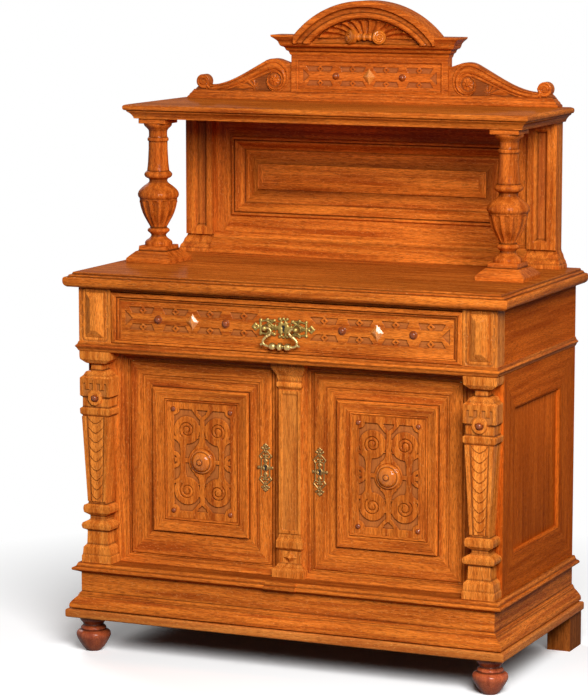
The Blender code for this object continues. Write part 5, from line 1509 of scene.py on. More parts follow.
@dataclass
class Door:
    """A moulded door frame, a strapwork panel, a turned boss, four studs and a pierced escutcheon."""

    label: str
    x: Span = (0.0562, 0.4408)
    z: Span = (0.2515, 0.737)
    thickness: float = 0.022
    flat: float = 0.032
    step: Span = (0.0094, 0.004)
    sunk: float = 0.020
    moulding: Span = (0.0359, 0.009)
    drop: float = 0.007
    boss: Span = (0.0300, 0.0195)
    stud: float = 0.0068
    lock_edge: float = 0.016

    def make(self, shop: Workshop) -> None:
        """Builds the door's pieces.

        Args:
            shop: The workshop that finishes and fits them.
        """
        side, body = SIDES[self.label], f"{self.label}_door"
        x = tuple(sorted((side * self.x[0], side * self.x[1])))
        front, back = BODY.door, BODY.door + self.thickness
        low, face = front + self.step[1], front + self.drop
        a, wide, rise = self.flat + self.step[0], self.moulding[0], self.moulding[1]
        b, crown = a + self.sunk, low - self.moulding[1]
        section = [
            (0.0, back), (0.0, front + 0.003), (0.0008, front + 0.0008), (0.003, front), (self.flat, front),
            (self.flat + 0.0006, front + 0.0024), (a - 0.003, front + 0.0026), (a - 0.0024, low),
            (b - 0.0002, low), (b, crown + 0.40 * rise), (b + 0.0008, crown + 0.10 * rise),
            (b + 0.0025, crown), (b + 0.0062, crown), (b + 0.0070, crown + 0.0014),
            (b + 0.0085, crown + 0.0016), (b + 0.0240, crown + 0.0086), (b + 0.0282, crown + 0.0098),
            (b + 0.0288, crown + 0.0128), (b + 0.0300, face - 0.0012), (b + 0.0306, face - 0.0026),
            (b + 0.0328, face - 0.0026), (b + 0.0336, face + 0.0004), (b + wide - 0.0002, face + 0.0006),
            (b + wide, face + 0.006)
        ]
        line = spaced(eased(section, 0.0012), 0.0015)
        line = np.concatenate([line, [(b + wide - 0.008, face + 0.0065), (b + wide - 0.008, back)]])
        frame = ring(x, self.z, line)
        # The outer steps are shallow, so they are given less of the hollows' darkening, wax and painted
        # shade, than the parts beside the moulding.
        frame.hollow[np.repeat(line[:, 0] < b - 0.004, 4)] *= 0.45
        frame.hollow[-8:] = 0.0
        # Painted shade: the frame's outer edge is darkened fully, as the shadow in the gap round the door.
        frame.hollow[:12] = 1.0
        shop.fit(f"door_framing_{self.label}", frame, f"{self.label}_door_frame", body=body)
        sight = b + wide + 0.0002
        middle = (sum(x) / 2, sum(self.z) / 2)
        field = carved(
            (x[0] + sight, x[1] - sight),
            (self.z[0] + sight, self.z[1] - sight),
            face,
            face + 0.014,
            lambda p, q: self.strapwork(p - middle[0], q - middle[1]),
            Grain.HEIGHT,
            0.0010,
        )
        knob = [
            (0.03, 1), (0.14, 0.99), (0.20, 0.92), (0.22, 0.80), (0.40, 0.77), (0.64, 0.64), (0.78, 0.45),
            (0.82, 0.28), (0.92, 0.26), (1, 0.18), (1, -0.06)
        ]
        boss = turned(knob, (middle[0], face, middle[1]), *self.boss, Facing.FRONT, 64)
        parts = []
        dome = [(0.05, 1), (0.40, 0.92), (0.74, 0.66), (0.94, 0.30), (1, 0), (1, -0.3)]
        for u, v in itertools.product((-0.078, 0.078), (-0.128, 0.128)):
            parts.append(
                turned(
                    dome, (middle[0] + u, face, middle[1] + v), self.stud, 0.0045, Facing.FRONT, 24, soft=1
                )
            )
        shop.fit(f"door_carving_{self.label}", field, f"{self.label}_door_panel", body=body)
        shop.fit(f"door_boss_{self.label}", boss, body=body, material=shop.polished)
        shop.fit(f"door_studs_{self.label}", Shape.join(*parts), body=body, material=shop.rubbed)
        self.escutcheon(shop, side * (self.x[0] + self.lock_edge), middle[1], body)

    def strapwork(self, u: Array, v: Array) -> tuple[Array, Array]:
        """The carving of the panel about its middle: raised straps and volutes on a sunk, matted ground.

        Everything is drawn once for a quarter of the panel from the distances |u| and |v|, so it mirrors
        both ways.

        Args:
            u: Distance across from the middle.
            v: Distance up from the middle.

        Returns:
            The rise and the share of matted ground.
        """
        a, b = np.abs(u), np.abs(v)
        eye = (0.0418, 0.0765)
        field = plate(a, b, (0.0, 0.0), (0.0770, 0.1280), 0.002)
        field = np.maximum(field, -disc(a, b, (0.0785, 0.1290), 0.0165))
        round_boss = disc(a, b, (0.0, 0.0), 0.0370)
        volute = disc(a, b, eye, 0.0350)
        upright = np.maximum(np.abs(a - 0.0530) - 0.0066 - 0.010 * np.exp((b - 0.048) / 0.007), b - 0.060)
        cross = plate(a, b, (0.050, 0.0), (0.026, 0.0054))
        stem = np.maximum(
            a - 0.0062 - 0.015 * np.exp(-np.maximum(b - 0.034, 0.0) / 0.009),
            np.maximum(0.020 - b, b - 0.112)
        )
        arm = trail(a, b, ((0.0, 0.1060), (0.0080, 0.1120), (0.0235, 0.1300))) - 0.0052
        trefoil = np.minimum(
            disc(a, b, (0.0065, 0.1225), 0.0050), lozenge(a, b, (0.0, 0.1200), (0.0100, 0.0090))
        )
        side_ring = np.maximum(disc(a, b, (0.0800, 0.0), 0.0220), -disc(a, b, (0.0800, 0.0), 0.0120))
        tie = plate(a, b, (0.010, 0.0820), (0.014, 0.0085), 0.002)
        straps = np.minimum.reduce(
            [round_boss, volute, upright, cross, stem, np.maximum(arm, -trefoil), side_ring, tie]
        )
        sunk = lift(field, 0.0016) * (1 - lift(straps, 0.0016))
        coil = trail(a, b, scroll(eye, 0.0215, 0.0060, 1.75, math.radians(-50)))
        knob = disc(a, b, eye, 0.0055)
        groove = lift(coil - 0.0012, 0.0026) * (1 - lift(knob, 0.001))
        moat = lift(np.abs(round_boss + 0.0050) - 0.0008, 0.0016)
        rise = -0.0038 * sunk - 0.0030 * groove - 0.0014 * moat
        return rise + 0.0012 * lift(knob, 0.005), sunk

    def escutcheon(self, shop: Workshop, x: float, z: float, body: str) -> None:
        """Builds the pierced brass plate: stem, lozenge bulges, palmette ends, side bars, lugs and a keyhole.

        Args:
            shop: The workshop that finishes and fits them.
            x: Its middle across.
            z: Its middle height.
            body: The door that it moves with.
        """

        def outline(p: Array, q: Array) -> Array:
            """Signed distance to the plate with its piercings.

            Args:
                p: Places across.
                q: Heights.

            Returns:
                The distance, negative on the plate.
            """
            a, b = np.abs(p - x), np.abs(q - z)
            bulge = ((0.0112, 0.0215), (0.0158, 0.0290), (0.0055, 0.0400), (0.0, 0.0430))
            solid = [
                plate(a, b, (0.0112, 0.0), (0.0019, 0.0225)), plate(a, b, (0.0, 0.0), (0.0028, 0.0550)),
                lozenge(a, b, (0.0, 0.0165), (0.0066, 0.0085)), trail(a, b, bulge) - 0.0021,
                trail(a, b, ((0.0112, 0.0215), (0.0, 0.0265))) - 0.0018,
                disc(a, b, (0.0060, 0.0300), 0.0030), disc(a, b, (0.0, 0.0), 0.0092),
                plate(a, b, (0.0130, 0.0), (0.0060, 0.0030)), disc(a, b, (0.0180, 0.0), 0.0042),
                disc(a, b, (0.0, 0.0445), 0.0050), trail(a, b, ((0.0, 0.0440), (0.0088, 0.0485))) - 0.0025,
                disc(a, b, (0.0088, 0.0490), 0.0034), disc(a, b, (0.0042, 0.0545), 0.0032),
                lozenge(a, b, (0.0, 0.0568), (0.0044, 0.0050))
            ]
            holes = [disc(a, b, (0.0, 0.0335), 0.0016), disc(a, b, (0.0, 0.0445), 0.0014)]
            keyhole = np.minimum(
                disc(p, q, (x, z + 0.002), 0.0034), plate(p, q, (x, z - 0.004), (0.0018, 0.006))
            )
            return np.maximum(np.minimum.reduce(solid), -np.minimum(np.minimum.reduce(holes), keyhole))

        brass = cast(
            (x - 0.0215, x + 0.0215),
            (z - 0.0620, z + 0.0620),
            BODY.door - 0.0008,
            BODY.door - GAP,
            outline,
            lambda p, q, d: 0.0021 * (1 - np.exp(np.minimum(d, 0.0) / 0.0013)),
        )
        shop.fit(
            f"pierced_escutcheon_{self.label}", brass, f"{self.label}_escutcheon", body=body,
            slot=Slot.BRASS, material=shop.bronzed
        )
        # A black disc behind the keyhole, as painted shade in its opening.
        dark = turned(
            [(0.02, 1), (1, 0.9), (1, 0)], (x, BODY.door, z - 0.001), 0.0072, 0.0004, Facing.FRONT, 24,
            soft=0
        )
        shop.fit(f"keyhole_dark_{self.label}", dark, body=body, slot=Slot.IRON, material=shop.keyhole)


def strap_band(
    u: Array,
    v: Array,
    bosses: Sequence[float],
    points: Sequence[float],
    ties: Sequence[float],
    start: float,
    end: float,
    half: float,
) -> tuple[Array, Array]:
    """A band of strapwork, mirrored about its middle.

    Two rows of sunk ground run above and below a middle strap; tied rings stand round the bosses, lozenges
    round the diamond points, open knots at the ties, and at its end the strap forks round a sunk triangle.

    Args:
        u: Distance across from the middle.
        v: Distance up from the middle.
        bosses: Where the round bosses are.
        points: Where the diamond points are.
        ties: Where the small open knots are.
        start: Where the rows of ground begin, beside the middle.
        end: Where the band ends.
        half: Half height of the band.

    Returns:
        The rise, with the straps at zero, and the share of matted ground.
    """
    a, b = np.abs(u), np.abs(v)
    field = plate(a, b, (0.0, 0.0), (end, half), 0.001)
    straps = [b - 0.45 * half, (end - 0.98 * half + 0.61 * b - a) / 1.17, (a - start + 0.95 * b) / 1.38]
    straps += [
        np.minimum(
            disc(a, b, (place, 0.0), 0.78 * half),
            0.9 * (np.abs(a - place) - 0.40 * half - 0.45 * (half - b))
        )
        for place in bosses
    ]
    straps += [lozenge(a, b, (place, 0.0), (half, 1.62 * half)) for place in points]
    knots = np.minimum.reduce(
        [lozenge(a, b, (place, 0.72 * half), (0.36 * half, 0.36 * half)) for place in ties]
    )
    fork = np.maximum((end - 0.72 * half + 1.08 * b - a) / 1.47, a - end)
    whole = np.maximum(np.minimum.reduce([*straps, np.maximum(knots, -knots - 0.17 * half)]), -fork)
    sunk = lift(field, 0.0014) * (1 - lift(whole, 0.0014))
    return -0.0028 * sunk, sunk


def studs(places: Sequence[Span], radius: float, height: float, y: float) -> list[Shape]:
    """Round bosses that face the front: a dome on a small ring."""
    dome = [
        (0.04, 1), (0.34, 0.94), (0.62, 0.74), (0.76, 0.44), (0.80, 0.30), (0.92, 0.28), (1, 0.14),
        (1, -0.2)
    ]
    return [turned(dome, (x, y, z), radius, height, Facing.FRONT, 32) for x, z in places]


def diamonds(places: Sequence[Span], half: Span, height: float, y: float) -> list[Shape]:
    """Diamond points that face the front: four loops that shrink to a blunt tip, on a small plinth.

    Args:
        places: Their middles.
        half: Half width and half height.
        height: How far they stand out.
        y: The plane that they stand on.

    Returns:
        One shape for each.
    """
    share, rise = np.array([1.0, 1.0, 0.97, 0.5, 0.03]), np.array([-0.3, 0.06, 0.10, 0.55, 1.0]) * height
    corners = np.array([(1, 0), (0, 1), (-1, 0), (0, -1)]) * half
    shapes = []
    for x, z in places:
        rows = np.stack(
            [
                x + share[:, None] * corners[:, 0], y - np.repeat(rise[:, None], 4, axis=1),
                z + share[:, None] * corners[:, 1]
            ],
            axis=-1
        )
        shapes.append(Shape.grid(rows, wrap_v=True, grains=Grain.HEIGHT, caps=Grain.HEIGHT))
    return shapes


@dataclass
class Frieze:
    """Corner blocks with hipped panels, and the carved drawer front with its brass pull."""

    block_width: float = 0.087
    block_half: float = 0.06835
    hip_inset: Span = (0.019, 0.013)
    hip_rise: float = 0.0100
    drawer_half: float = 0.462
    drawer_z: Span = (0.789, 0.9145)
    thickness: float = 0.026
    edges: Place = (0.0252, 0.013, 0.022)
    depth: float = 0.011
    band: float = 0.852
    band_size: Place = (0.0955, 0.4275, 0.0285)
    bosses: tuple[float, ...] = (0.1533, 0.336)
    points: tuple[float, ...] = (0.243,)
    ties: tuple[float, ...] = (0.106, 0.197, 0.290, 0.379)
    post: float = 0.041
    axis: Span = (-0.2835, 0.850)

    def make(self, shop: Workshop) -> None:
        """Builds the frieze's pieces.

        Args:
            shop: The workshop that finishes and fits them.
        """
        for label, side in SIDES.items():
            x = tuple(sorted((side * (BODY.half - self.block_width), side * BODY.half)))
            z = (BODY.frieze + GAP, BODY.top)
            corner = carved(
                x, z, BODY.face, BODY.front, lambda p, q: self.hipped(p - sum(x) / 2, q - sum(z) / 2),
                Grain.HEIGHT, 0.0012
            )
            shop.fit(f"frieze_block_{label}", corner, f"{label}_corner_block", material=shop.pale)
        self.drawer(shop)
        self.pull(shop)

    def hipped(self, u: Array, v: Array) -> tuple[Array, Array]:
        """A corner block's face: a panel that slopes up to a narrow ridge, in a border of straps.

        Args:
            u: Distance across from the block's middle.
            v: Distance up from it.

        Returns:
            The rise and the share of matted ground.
        """
        half = (self.block_width / 2 - self.hip_inset[0], self.block_half - self.hip_inset[1])
        inner = np.minimum(half[0] - np.abs(u), half[1] - np.abs(v))
        hip = np.clip(inner / (0.68 * half[0]), 0.0, 1.0) * self.hip_rise
        edge = plate(u, v, (0.0, 0.0), half)
        line = lift(np.abs(edge - 0.0015) - 0.0007, 0.0016)
        breaks = lift(np.abs(np.abs(v) - 0.028) - 0.004, 0.002)
        border = lift(np.abs(edge - 0.0105) - 0.0022, 0.0016) * (1 - breaks)
        eyes = lift(np.abs(disc(np.abs(u), np.abs(v), (half[0] + 0.0095, 0.0), 0.0046)) - 0.0010, 0.0014)
        sunk = np.clip(border + eyes, 0.0, 1.0) * lift(0.0035 - edge, 0.002)
        return hip - 0.0012 * line - 0.0014 * sunk, 0.6 * sunk

    def drawer(self, shop: Workshop) -> None:
        """Builds the drawer front: a moulded edge round a field with low strapwork.

        Args:
            shop: The workshop that finishes and fits them.
        """
        x, z = (-self.drawer_half, self.drawer_half), self.drawer_z
        field, back = BODY.face + self.depth, BODY.face + self.thickness
        steps = [
            (0, 0.30), (0.04, 0.10), (0.12, 0.02), (0.36, 0), (0.46, 0.06), (0.52, 0.26), (0.56, 0.50),
            (0.72, 0.54), (0.80, 0.80), (0.92, 0.94), (1, 1)
        ]
        end, low, high = self.edges
        frame = ring(x, z, framing(steps, (end, self.depth), BODY.face, back, 0.0012), (end, end, low, high))
        # Painted shade: the frame's outer edge is darkened fully, as the shadow in the gap round the drawer
        # front.
        frame.hollow[:12] = 1.0
        inside = (x[0] + end - 0.0002, x[1] - end + 0.0002), (z[0] + low - 0.0002, z[1] - high + 0.0002)
        spots = (self.bosses, self.points, self.ties)

        def straps(p: Array, q: Array) -> tuple[Array, Array]:
            """The strapwork of the field."""
            return strap_band(p, q - self.band, *spots, *self.band_size)

        panel = carved(*inside, field, back - 0.0004, straps, Grain.WIDTH, 0.0011)
        round_places = [(s * place, self.band) for s in (-1, 1) for place in self.bosses]
        point_places = [(s * place, self.band) for s in (-1, 1) for place in self.points]
        points = diamonds(point_places, (0.0172, 0.0205), 0.0092, field)
        shop.fit("drawer_face", Shape.join(frame, panel), "drawer_front", body="drawer")
        shop.fit(
            "drawer_bosses", Shape.join(*studs(round_places, 0.0105, 0.0085, field)), body="drawer",
            material=shop.rubbed
        )
        shop.fit("drawer_points", Shape.join(*points), body="drawer", material=shop.pointed)

    def pull(self, shop: Workshop) -> None:
        """Builds the brass pull: a pierced plate with a keyhole, two ball posts, and the bail with its grip.

        Args:
            shop: The workshop that finishes and fits them.
        """
        field, (y, z) = BODY.face + self.depth, self.axis

        def outline(p: Array, q: Array) -> Array:
            """Signed distance to the plate with its piercings.

            Args:
                p: Places across.
                q: Heights.

            Returns:
                The distance, negative on the plate.
            """
            a, b = np.abs(p), np.abs(q - z)
            solid = [
                plate(a, b, (0.0, 0.0), (0.0215, 0.0130), 0.004),
                lozenge(a, b, (0.0, 0.0), (0.0310, 0.0215)), plate(a, b, (0.0, 0.0), (0.0085, 0.0215)),
                disc(a, b, (0.0, 0.0222), 0.0042), disc(a, b, (0.0098, 0.0215), 0.0042),
                disc(a, b, (0.0245, 0.0165), 0.0046),
                trail(a, b, ((0.0245, 0.0165), (0.0420, 0.0175), (0.0600, 0.0140))) - 0.0026,
                disc(a, b, (0.0420, 0.0195), 0.0036),
                trail(a, b, ((0.0280, 0.0140), (0.0500, 0.0030), (0.0600, 0.0))) - 0.0030,
                trail(a, b, ((0.0200, 0.0), (0.0460, 0.0170))) - 0.0024,
                plate(a, b, (0.0440, 0.0), (0.0200, 0.0034)), disc(a, b, (self.post, 0.0), 0.0092),
                plate(a, b, (0.0600, 0.0), (0.0030, 0.0150)), disc(a, b, (0.0600, 0.0168), 0.0041),
                disc(a, b, (0.0680, 0.0), 0.0056), lozenge(a, b, (0.0735, 0.0), (0.0110, 0.0110))
            ]
            holes = [
                disc(a, b, (0.0, 0.0155), 0.0028), disc(a, b, (0.0165, 0.0085), 0.0034),
                disc(a, b, (0.0715, 0.0), 0.0018)
            ]
            keyhole = np.minimum(
                disc(p, q, (0.0, z + 0.0025), 0.0036), plate(p, q, (0.0, z - 0.0035), (0.0019, 0.0055))
            )
            return np.maximum(np.minimum.reduce(solid), -np.minimum(np.minimum.reduce(holes), keyhole))

        pierced = cast(
            (-0.0850, 0.0850),
            (z - 0.0275, z + 0.0275),
            field - 0.0012,
            field - GAP,
            outline,
            lambda p, q, d: 0.0024 * (1 - np.exp(np.minimum(d, 0.0) / 0.0016)),
        )
        ball = [
            (0.04, 1), (0.40, 0.97), (0.80, 0.86), (1, 0.70), (0.86, 0.52), (0.60, 0.44), (0.62, 0.22),
            (1.05, 0.12), (1.1, 0)
        ]
        balls = [
            turned(
                ball, (s * self.post, field - 0.001, z), 0.0078, 0.0275, Facing.FRONT, 32, grain=Grain.WIDTH
            )
            for s in (-1, 1)
        ]
        shop.fit(
            "pierced_backplate", Shape.join(pierced, *balls), "drawer_backplate", body="drawer",
            slot=Slot.BRASS, material=shop.worn
        )
        # A black disc behind the keyhole, as painted shade in its opening.
        dark = turned(
            [(0.02, 1), (1, 0.9), (1, 0)], (0.0, field, z - 0.001), 0.0075, 0.0006, Facing.FRONT, 24, soft=0
        )
        shop.fit("drawer_keyhole_dark", dark, body="drawer", slot=Slot.IRON, material=shop.keyhole)

        half = np.array(
            [
                (0.0410, 0.0), (0.0345, 0.0020), (0.0275, 0.0000), (0.0238, -0.0060), (0.0248, -0.0120),
                (0.0300, -0.0165), (0.0370, -0.0205), (0.0432, -0.0265), (0.0455, -0.0330),
                (0.0425, -0.0392), (0.0360, -0.0420), (0.0280, -0.0428)
            ]
        )
        path = spaced(softened(half, 3), 0.0012)
        share = np.linspace(0.0, 1.0, len(path))
        beads = np.exp(-(((share - 0.42) / 0.025) ** 2)) + np.exp(-(((share - 0.50) / 0.025) ** 2))
        collar = np.exp(-(((share - 0.97) / 0.03) ** 2))
        thick = 0.0029 + 0.0006 * np.sin(math.pi * share) + 0.0012 * beads + 0.0012 * collar
        arm = rod(path + (0.0, z), thick, y)
        leg = np.array([(0.0430, -0.0355), (0.0475, -0.0385), (0.0510, -0.0400), (0.0528, -0.0404)])
        spur = rod(leg + (0.0, z), np.array([0.0034, 0.0027, 0.0032, 0.0010]), y)
        grip = [
            (0.34, 1), (0.42, 0.985), (0.62, 0.955), (0.82, 0.91), (0.90, 0.84), (0.84, 0.76), (0.66, 0.71),
            (0.46, 0.69), (0.40, 0.665), (0.50, 0.645), (0.48, 0.62), (0.72, 0.592), (0.97, 0.56), (1, 0.50)
        ]
        grip += [(r, 1 - h) for r, h in reversed(grip[:-1])]
        bar = turned(
            grip, (-0.0300, y, z - 0.0428), 0.0102, 0.060, Facing.ACROSS, 36, grain=Grain.WIDTH, soft=1
        )
        shop.fit(
            "bail_handle", Shape.join(arm, arm.mirrored(), spur, spur.mirrored(), bar), "drawer_bail",
            body="bail", slot=Slot.BRASS
        )


@dataclass
class Niche:
    """Countertop, vase columns, panelled posts, the framed back and the shelf over it."""

    column: Span = (0.471, 0.0145)
    column_radius: float = 0.0526
    base: Span = (0.124, 0.041)
    abacus: Span = (0.074, 0.0127)
    flutes: int = 12
    post_x: Span = (0.4333, 0.5103)
    post_depth: float = 0.044
    foot: Span = (0.045, 0.0157)
    frame_depth: float = 0.026
    edges: tuple[float, float, float, float] = (0.0475, 0.0475, 0.0974, 0.0604)
    moulding: Span = (0.040, 0.008)
    margin: float = 0.030
    bevel: Span = (0.0165, 0.0105)
    skirting: Span = (0.056, 0.034)
    shelf_half: float = 0.518
    shelf_front: float = -0.0275
    shelf_edge: float = 0.022
    bolt_x: Span = (-0.009, 0.009)
    bolt_y: Span = (-0.2447, -0.2367)
    bolt_sink: float = 0.0094

    def make(self, shop: Workshop) -> None:
        """Builds the niche's pieces.

        Args:
            shop: The workshop that finishes and fits them.
        """
        stepped = [
            (0.72, 0), (0.92, 0.12), (1, 0.30), (1, 0.56), (0.92, 0.68), (0.66, 0.70), (0.60, 0.84),
            (0.40, 0.86), (0.34, 1)
        ]
        top = moulded(stepped, *BODY.plan, (BODY.top + GAP, BODY.niche), 0.0324, 0.0248)
        ovolo = [(0.0, 0), (0.45, 0.08), (0.85, 0.35), (1, 0.70), (1, 1)]
        strip = moulded(
            ovolo, (-0.4627, 0.4627), (BODY.face + 0.007, BODY.face + 0.047), (0.9155, 0.9254), 0.0, 0.005
        )
        # The strip's underside is put back with the mortise that the drawer's bolt enters.
        strip.caps.pop(0)
        (left, right), (near, far) = self.bolt_x, self.bolt_y
        mouth = np.array(
            [(left, far, 0.9155), (left, near, 0.9155), (right, near, 0.9155), (right, far, 0.9155)]
        )
        strip = Shape.join(strip, mortise(strip.points[:4], mouth, (0.0, 0.0, self.bolt_sink)))
        shop.fit("moulded_countertop", Shape.join(top, strip), "countertop")
        covered = [
            (0, 0), (0.10, 0.18), (0.35, 0.38), (0.62, 0.48), (0.66, 0.58), (0.90, 0.60), (1, 0.72),
            (1, 0.86), (0.90, 0.95), (0.55, 1)
        ]
        shelf = moulded(
            covered, (-self.shelf_half, self.shelf_half), (self.shelf_front, BODY.back),
            (BODY.shelf + GAP, BODY.crest), self.shelf_edge, self.shelf_edge
        )
        shop.fit("moulded_shelf", shelf, "top_shelf")
        for label, side in SIDES.items():
            shop.fit(f"vase_column_{label}", self.vase(side), f"{label}_column", material=shop.chestnut)
            post = self.post()
            shop.fit(f"panelled_post_{label}", post if side > 0 else post.mirrored(), f"{label}_upper_post")
        self.back(shop)

    def vase(self, side: int) -> Shape:
        """A column: a stepped square base, a turned vase with arched flutes, and a square abacus.

        Args:
            side: -1 for the left column, 1 for the right one.

        Returns:
            The column.
        """
        x, y = side * self.column[0], self.column[1]
        low, high = BODY.niche + GAP, BODY.shelf
        steps = [
            (1, 0), (1, 0.26), (0.94, 0.34), (0.86, 0.46), (0.74, 0.62), (0.70, 0.68), (0.62, 0.70),
            (0.60, 1)
        ]
        section = spaced(eased(np.array(steps) * (self.base[0] / 2, self.base[1]), 0.0020), 0.002)
        half, up = section.T
        plan = [(x - half, y + half), (x - half, y - half), (x + half, y - half), (x + half, y + half)]
        foot = level_loops(plan, low + up)
        base = Shape.grid(
            foot, wrap_v=True, grains=Grain.WIDTH, hollow=hollows(section, 1)[:, None], caps=Grain.WIDTH
        )
        vase = [
            (0.66, 1), (0.685, 0.991), (0.64, 0.975), (0.50, 0.954), (0.44, 0.937), (0.44, 0.887),
            (0.51, 0.879), (0.51, 0.858), (0.44, 0.850), (0.515, 0.613), (0.62, 0.602), (0.69, 0.581),
            (0.62, 0.558), (0.45, 0.547), (0.43, 0.522), (0.54, 0.505), (0.68, 0.489), (0.86, 0.463),
            (0.97, 0.439), (1, 0.414), (0.97, 0.398), (0.90, 0.386), (0.90, 0.340), (0.80, 0.281),
            (0.70, 0.240), (0.56, 0.198), (0.42, 0.158), (0.40, 0.146), (0.53, 0.133), (0.54, 0.115),
            (0.42, 0.100), (0.34, 0.082), (0.44, 0.058), (0.60, 0.041), (0.67, 0.024), (0.66, 0)
        ]
        foot_z, cap_z = low + self.base[1], high - self.abacus[1]

        def fluting(angle: Array, share: Array) -> Array:
            """Arched flutes under the shoulder: round hollows that end in half circles, with thin rims.

            The distance to a flute's outline is taken on the surface: across it from the local radius, and
            along it from the height over the centre of its half circle.

            Args:
                angle: Angle round the axis.
                share: Share of the height.

            Returns:
                What is added to the radius.
            """
            radius = np.interp(share, (0.15, 0.24, 0.34), (0.42, 0.70, 0.90)) * self.column_radius
            pitch = math.pi * radius / self.flutes
            across = (np.mod(angle * self.flutes / (2 * math.pi), 1.0) * 2 - 1) * pitch
            half = 0.76 * pitch
            over = np.maximum((share - 0.345) * (cap_z - foot_z), 0.0)
            far = np.hypot(across, over) - half
            bowl = 0.0034 * np.sqrt(np.maximum(1 - ((far + half) / half) ** 2, 0.0))
            rim = 0.0010 * np.exp(-(((far - 0.0007) / 0.0008) ** 2))
            return (rim - bowl) * np.clip((share - 0.150) / 0.02, 0.0, 1.0)

        shaft = turned(
            vase, (x, y, foot_z - 0.0002), self.column_radius, cap_z - foot_z + 0.0004, steps=96,
            swell=fluting, soft=1
        )
        w = self.abacus[0] / 2
        cap = block((x - w, x + w), (y - w, y + w), (cap_z, high), Grain.WIDTH, 0.0015)
        return Shape.join(base, shaft, cap)

    def post(self) -> Shape:
        """The right post: flat against the wall, flared at its foot, with a long sunk panel on its front.

        Returns:
            The post.
        """
        z = (BODY.niche + GAP, BODY.shelf)
        flare = [
            (1, 0), (1, 0.16), (0.84, 0.24), (0.80, 0.36), (0.50, 0.50), (0.36, 0.72), (0.12, 0.84), (0, 1)
        ]
        profile = [(out, up * self.foot[0] / (z[1] - z[0])) for out, up in flare] + [(0.0, 0.3), (0.0, 1.0)]
        front = BODY.back - self.post_depth
        body = moulded(
            profile, self.post_x, (front + 0.011, BODY.back), z, (0.0, self.foot[1]), self.foot[1] + 0.011
        )
        body.grains[:] = Grain.HEIGHT.code
        middle = (self.post_x[0] + 0.45 * (self.post_x[1] - self.post_x[0]), 1.166)

        def panel(x: Array, z: Array) -> tuple[Array, Array]:
            """A sunk panel with a bead.

            Args:
                x: Places across.
                z: Heights.

            Returns:
                The rise and the share of matted ground.
            """
            far = plate(x, z, middle, (0.0150, 0.138), 0.002)
            slope = 0.0095 * np.clip((far + 0.0050) / 0.0060, 0.0, 1.0)
            return slope + 0.0016 * lift(0.0030 - far, 0.0014), 0.3 * lift(far, 0.002)

        face = carved(
            (self.post_x[0] + 0.0004, self.post_x[1] - 0.0004), (1.0075, BODY.shelf), front + 0.0105,
            front + 0.014, panel, Grain.HEIGHT, 0.0014
        )
        return Shape.join(body, face)

    def back(self, shop: Workshop) -> None:
        """Builds the framed back: a frame with its moulding and skirting, and a panel with a raised field.

        Args:
            shop: The workshop that finishes and fits them.
        """
        x, z = (-self.post_x[0] + GAP, self.post_x[0] - GAP), (BODY.niche + GAP, BODY.shelf)
        front, (wide, rise) = BODY.back - self.frame_depth, self.moulding
        inner_x = x[0] + self.edges[0], x[1] - self.edges[1]
        inner_z = z[0] + self.edges[2], z[1] - self.edges[3]
        panel = front + 1.3 * rise
        steps = [
            (0.0, front), (0.01, front - 0.6 * rise), (0.05, front - rise), (0.17, front - rise),
            (0.20, front - 0.5 * rise), (0.25, front - 0.5 * rise), (0.28, front - 0.85 * rise),
            (0.36, front - 0.8 * rise), (0.66, front + 0.6 * rise), (0.80, panel - 0.0012), (0.84, panel),
            (1.0, panel)
        ]
        line = spaced(eased(np.array(steps) * (wide, 1.0), 0.0016), 0.0015)
        moulding = ring(inner_x, inner_z, np.concatenate([line, [(wide, panel + 0.006)]]))
        rows = moulding.points.reshape(-1, 4, 3)
        outer = rectangles(x, z, (BODY.back, front))
        last = rows[-1:] * (1.0, 0.0, 1.0) + (0.0, BODY.back, 0.0)
        shade_rows = np.concatenate([np.zeros(2), moulding.hollow.reshape(-1, 4)[:, 0], np.zeros(1)])
        frame = Shape.grid(np.concatenate([outer, rows, last]), True, True, MITRED, shade_rows[:, None])
        ogee = [(1, 0), (1, 0.42), (0.80, 0.52), (0.42, 0.66), (0.30, 0.84), (0.12, 0.92), (0, 1)]
        skirting = moulded(
            ogee, x, (front, BODY.back - 0.013), (z[0], z[0] + self.skirting[0]), 0.0, self.skirting[1]
        )
        shop.fit("upper_framing", Shape.join(frame, skirting), "upper_back_frame")
        a, raised = self.margin, panel - self.bevel[1]
        section = [
            (-0.006, BODY.back - 0.002), (-0.006, panel + 0.0045), (0.0002, panel + 0.0045),
            (0.0002, panel), (a - 0.001, panel), (a, panel - 0.0005), (a + 0.0002, panel - 0.003),
            (a + 0.001, panel - 0.0034), (a + self.bevel[0], raised + 0.0008),
            (a + self.bevel[0] + 0.0012, raised)
        ]
        field = ring(
            (inner_x[0] + wide, inner_x[1] - wide), (inner_z[0] + wide, inner_z[1] - wide),
            np.array(section), closed=False
        )
        shop.fit("upper_raised_panel", field, "upper_back_panel")


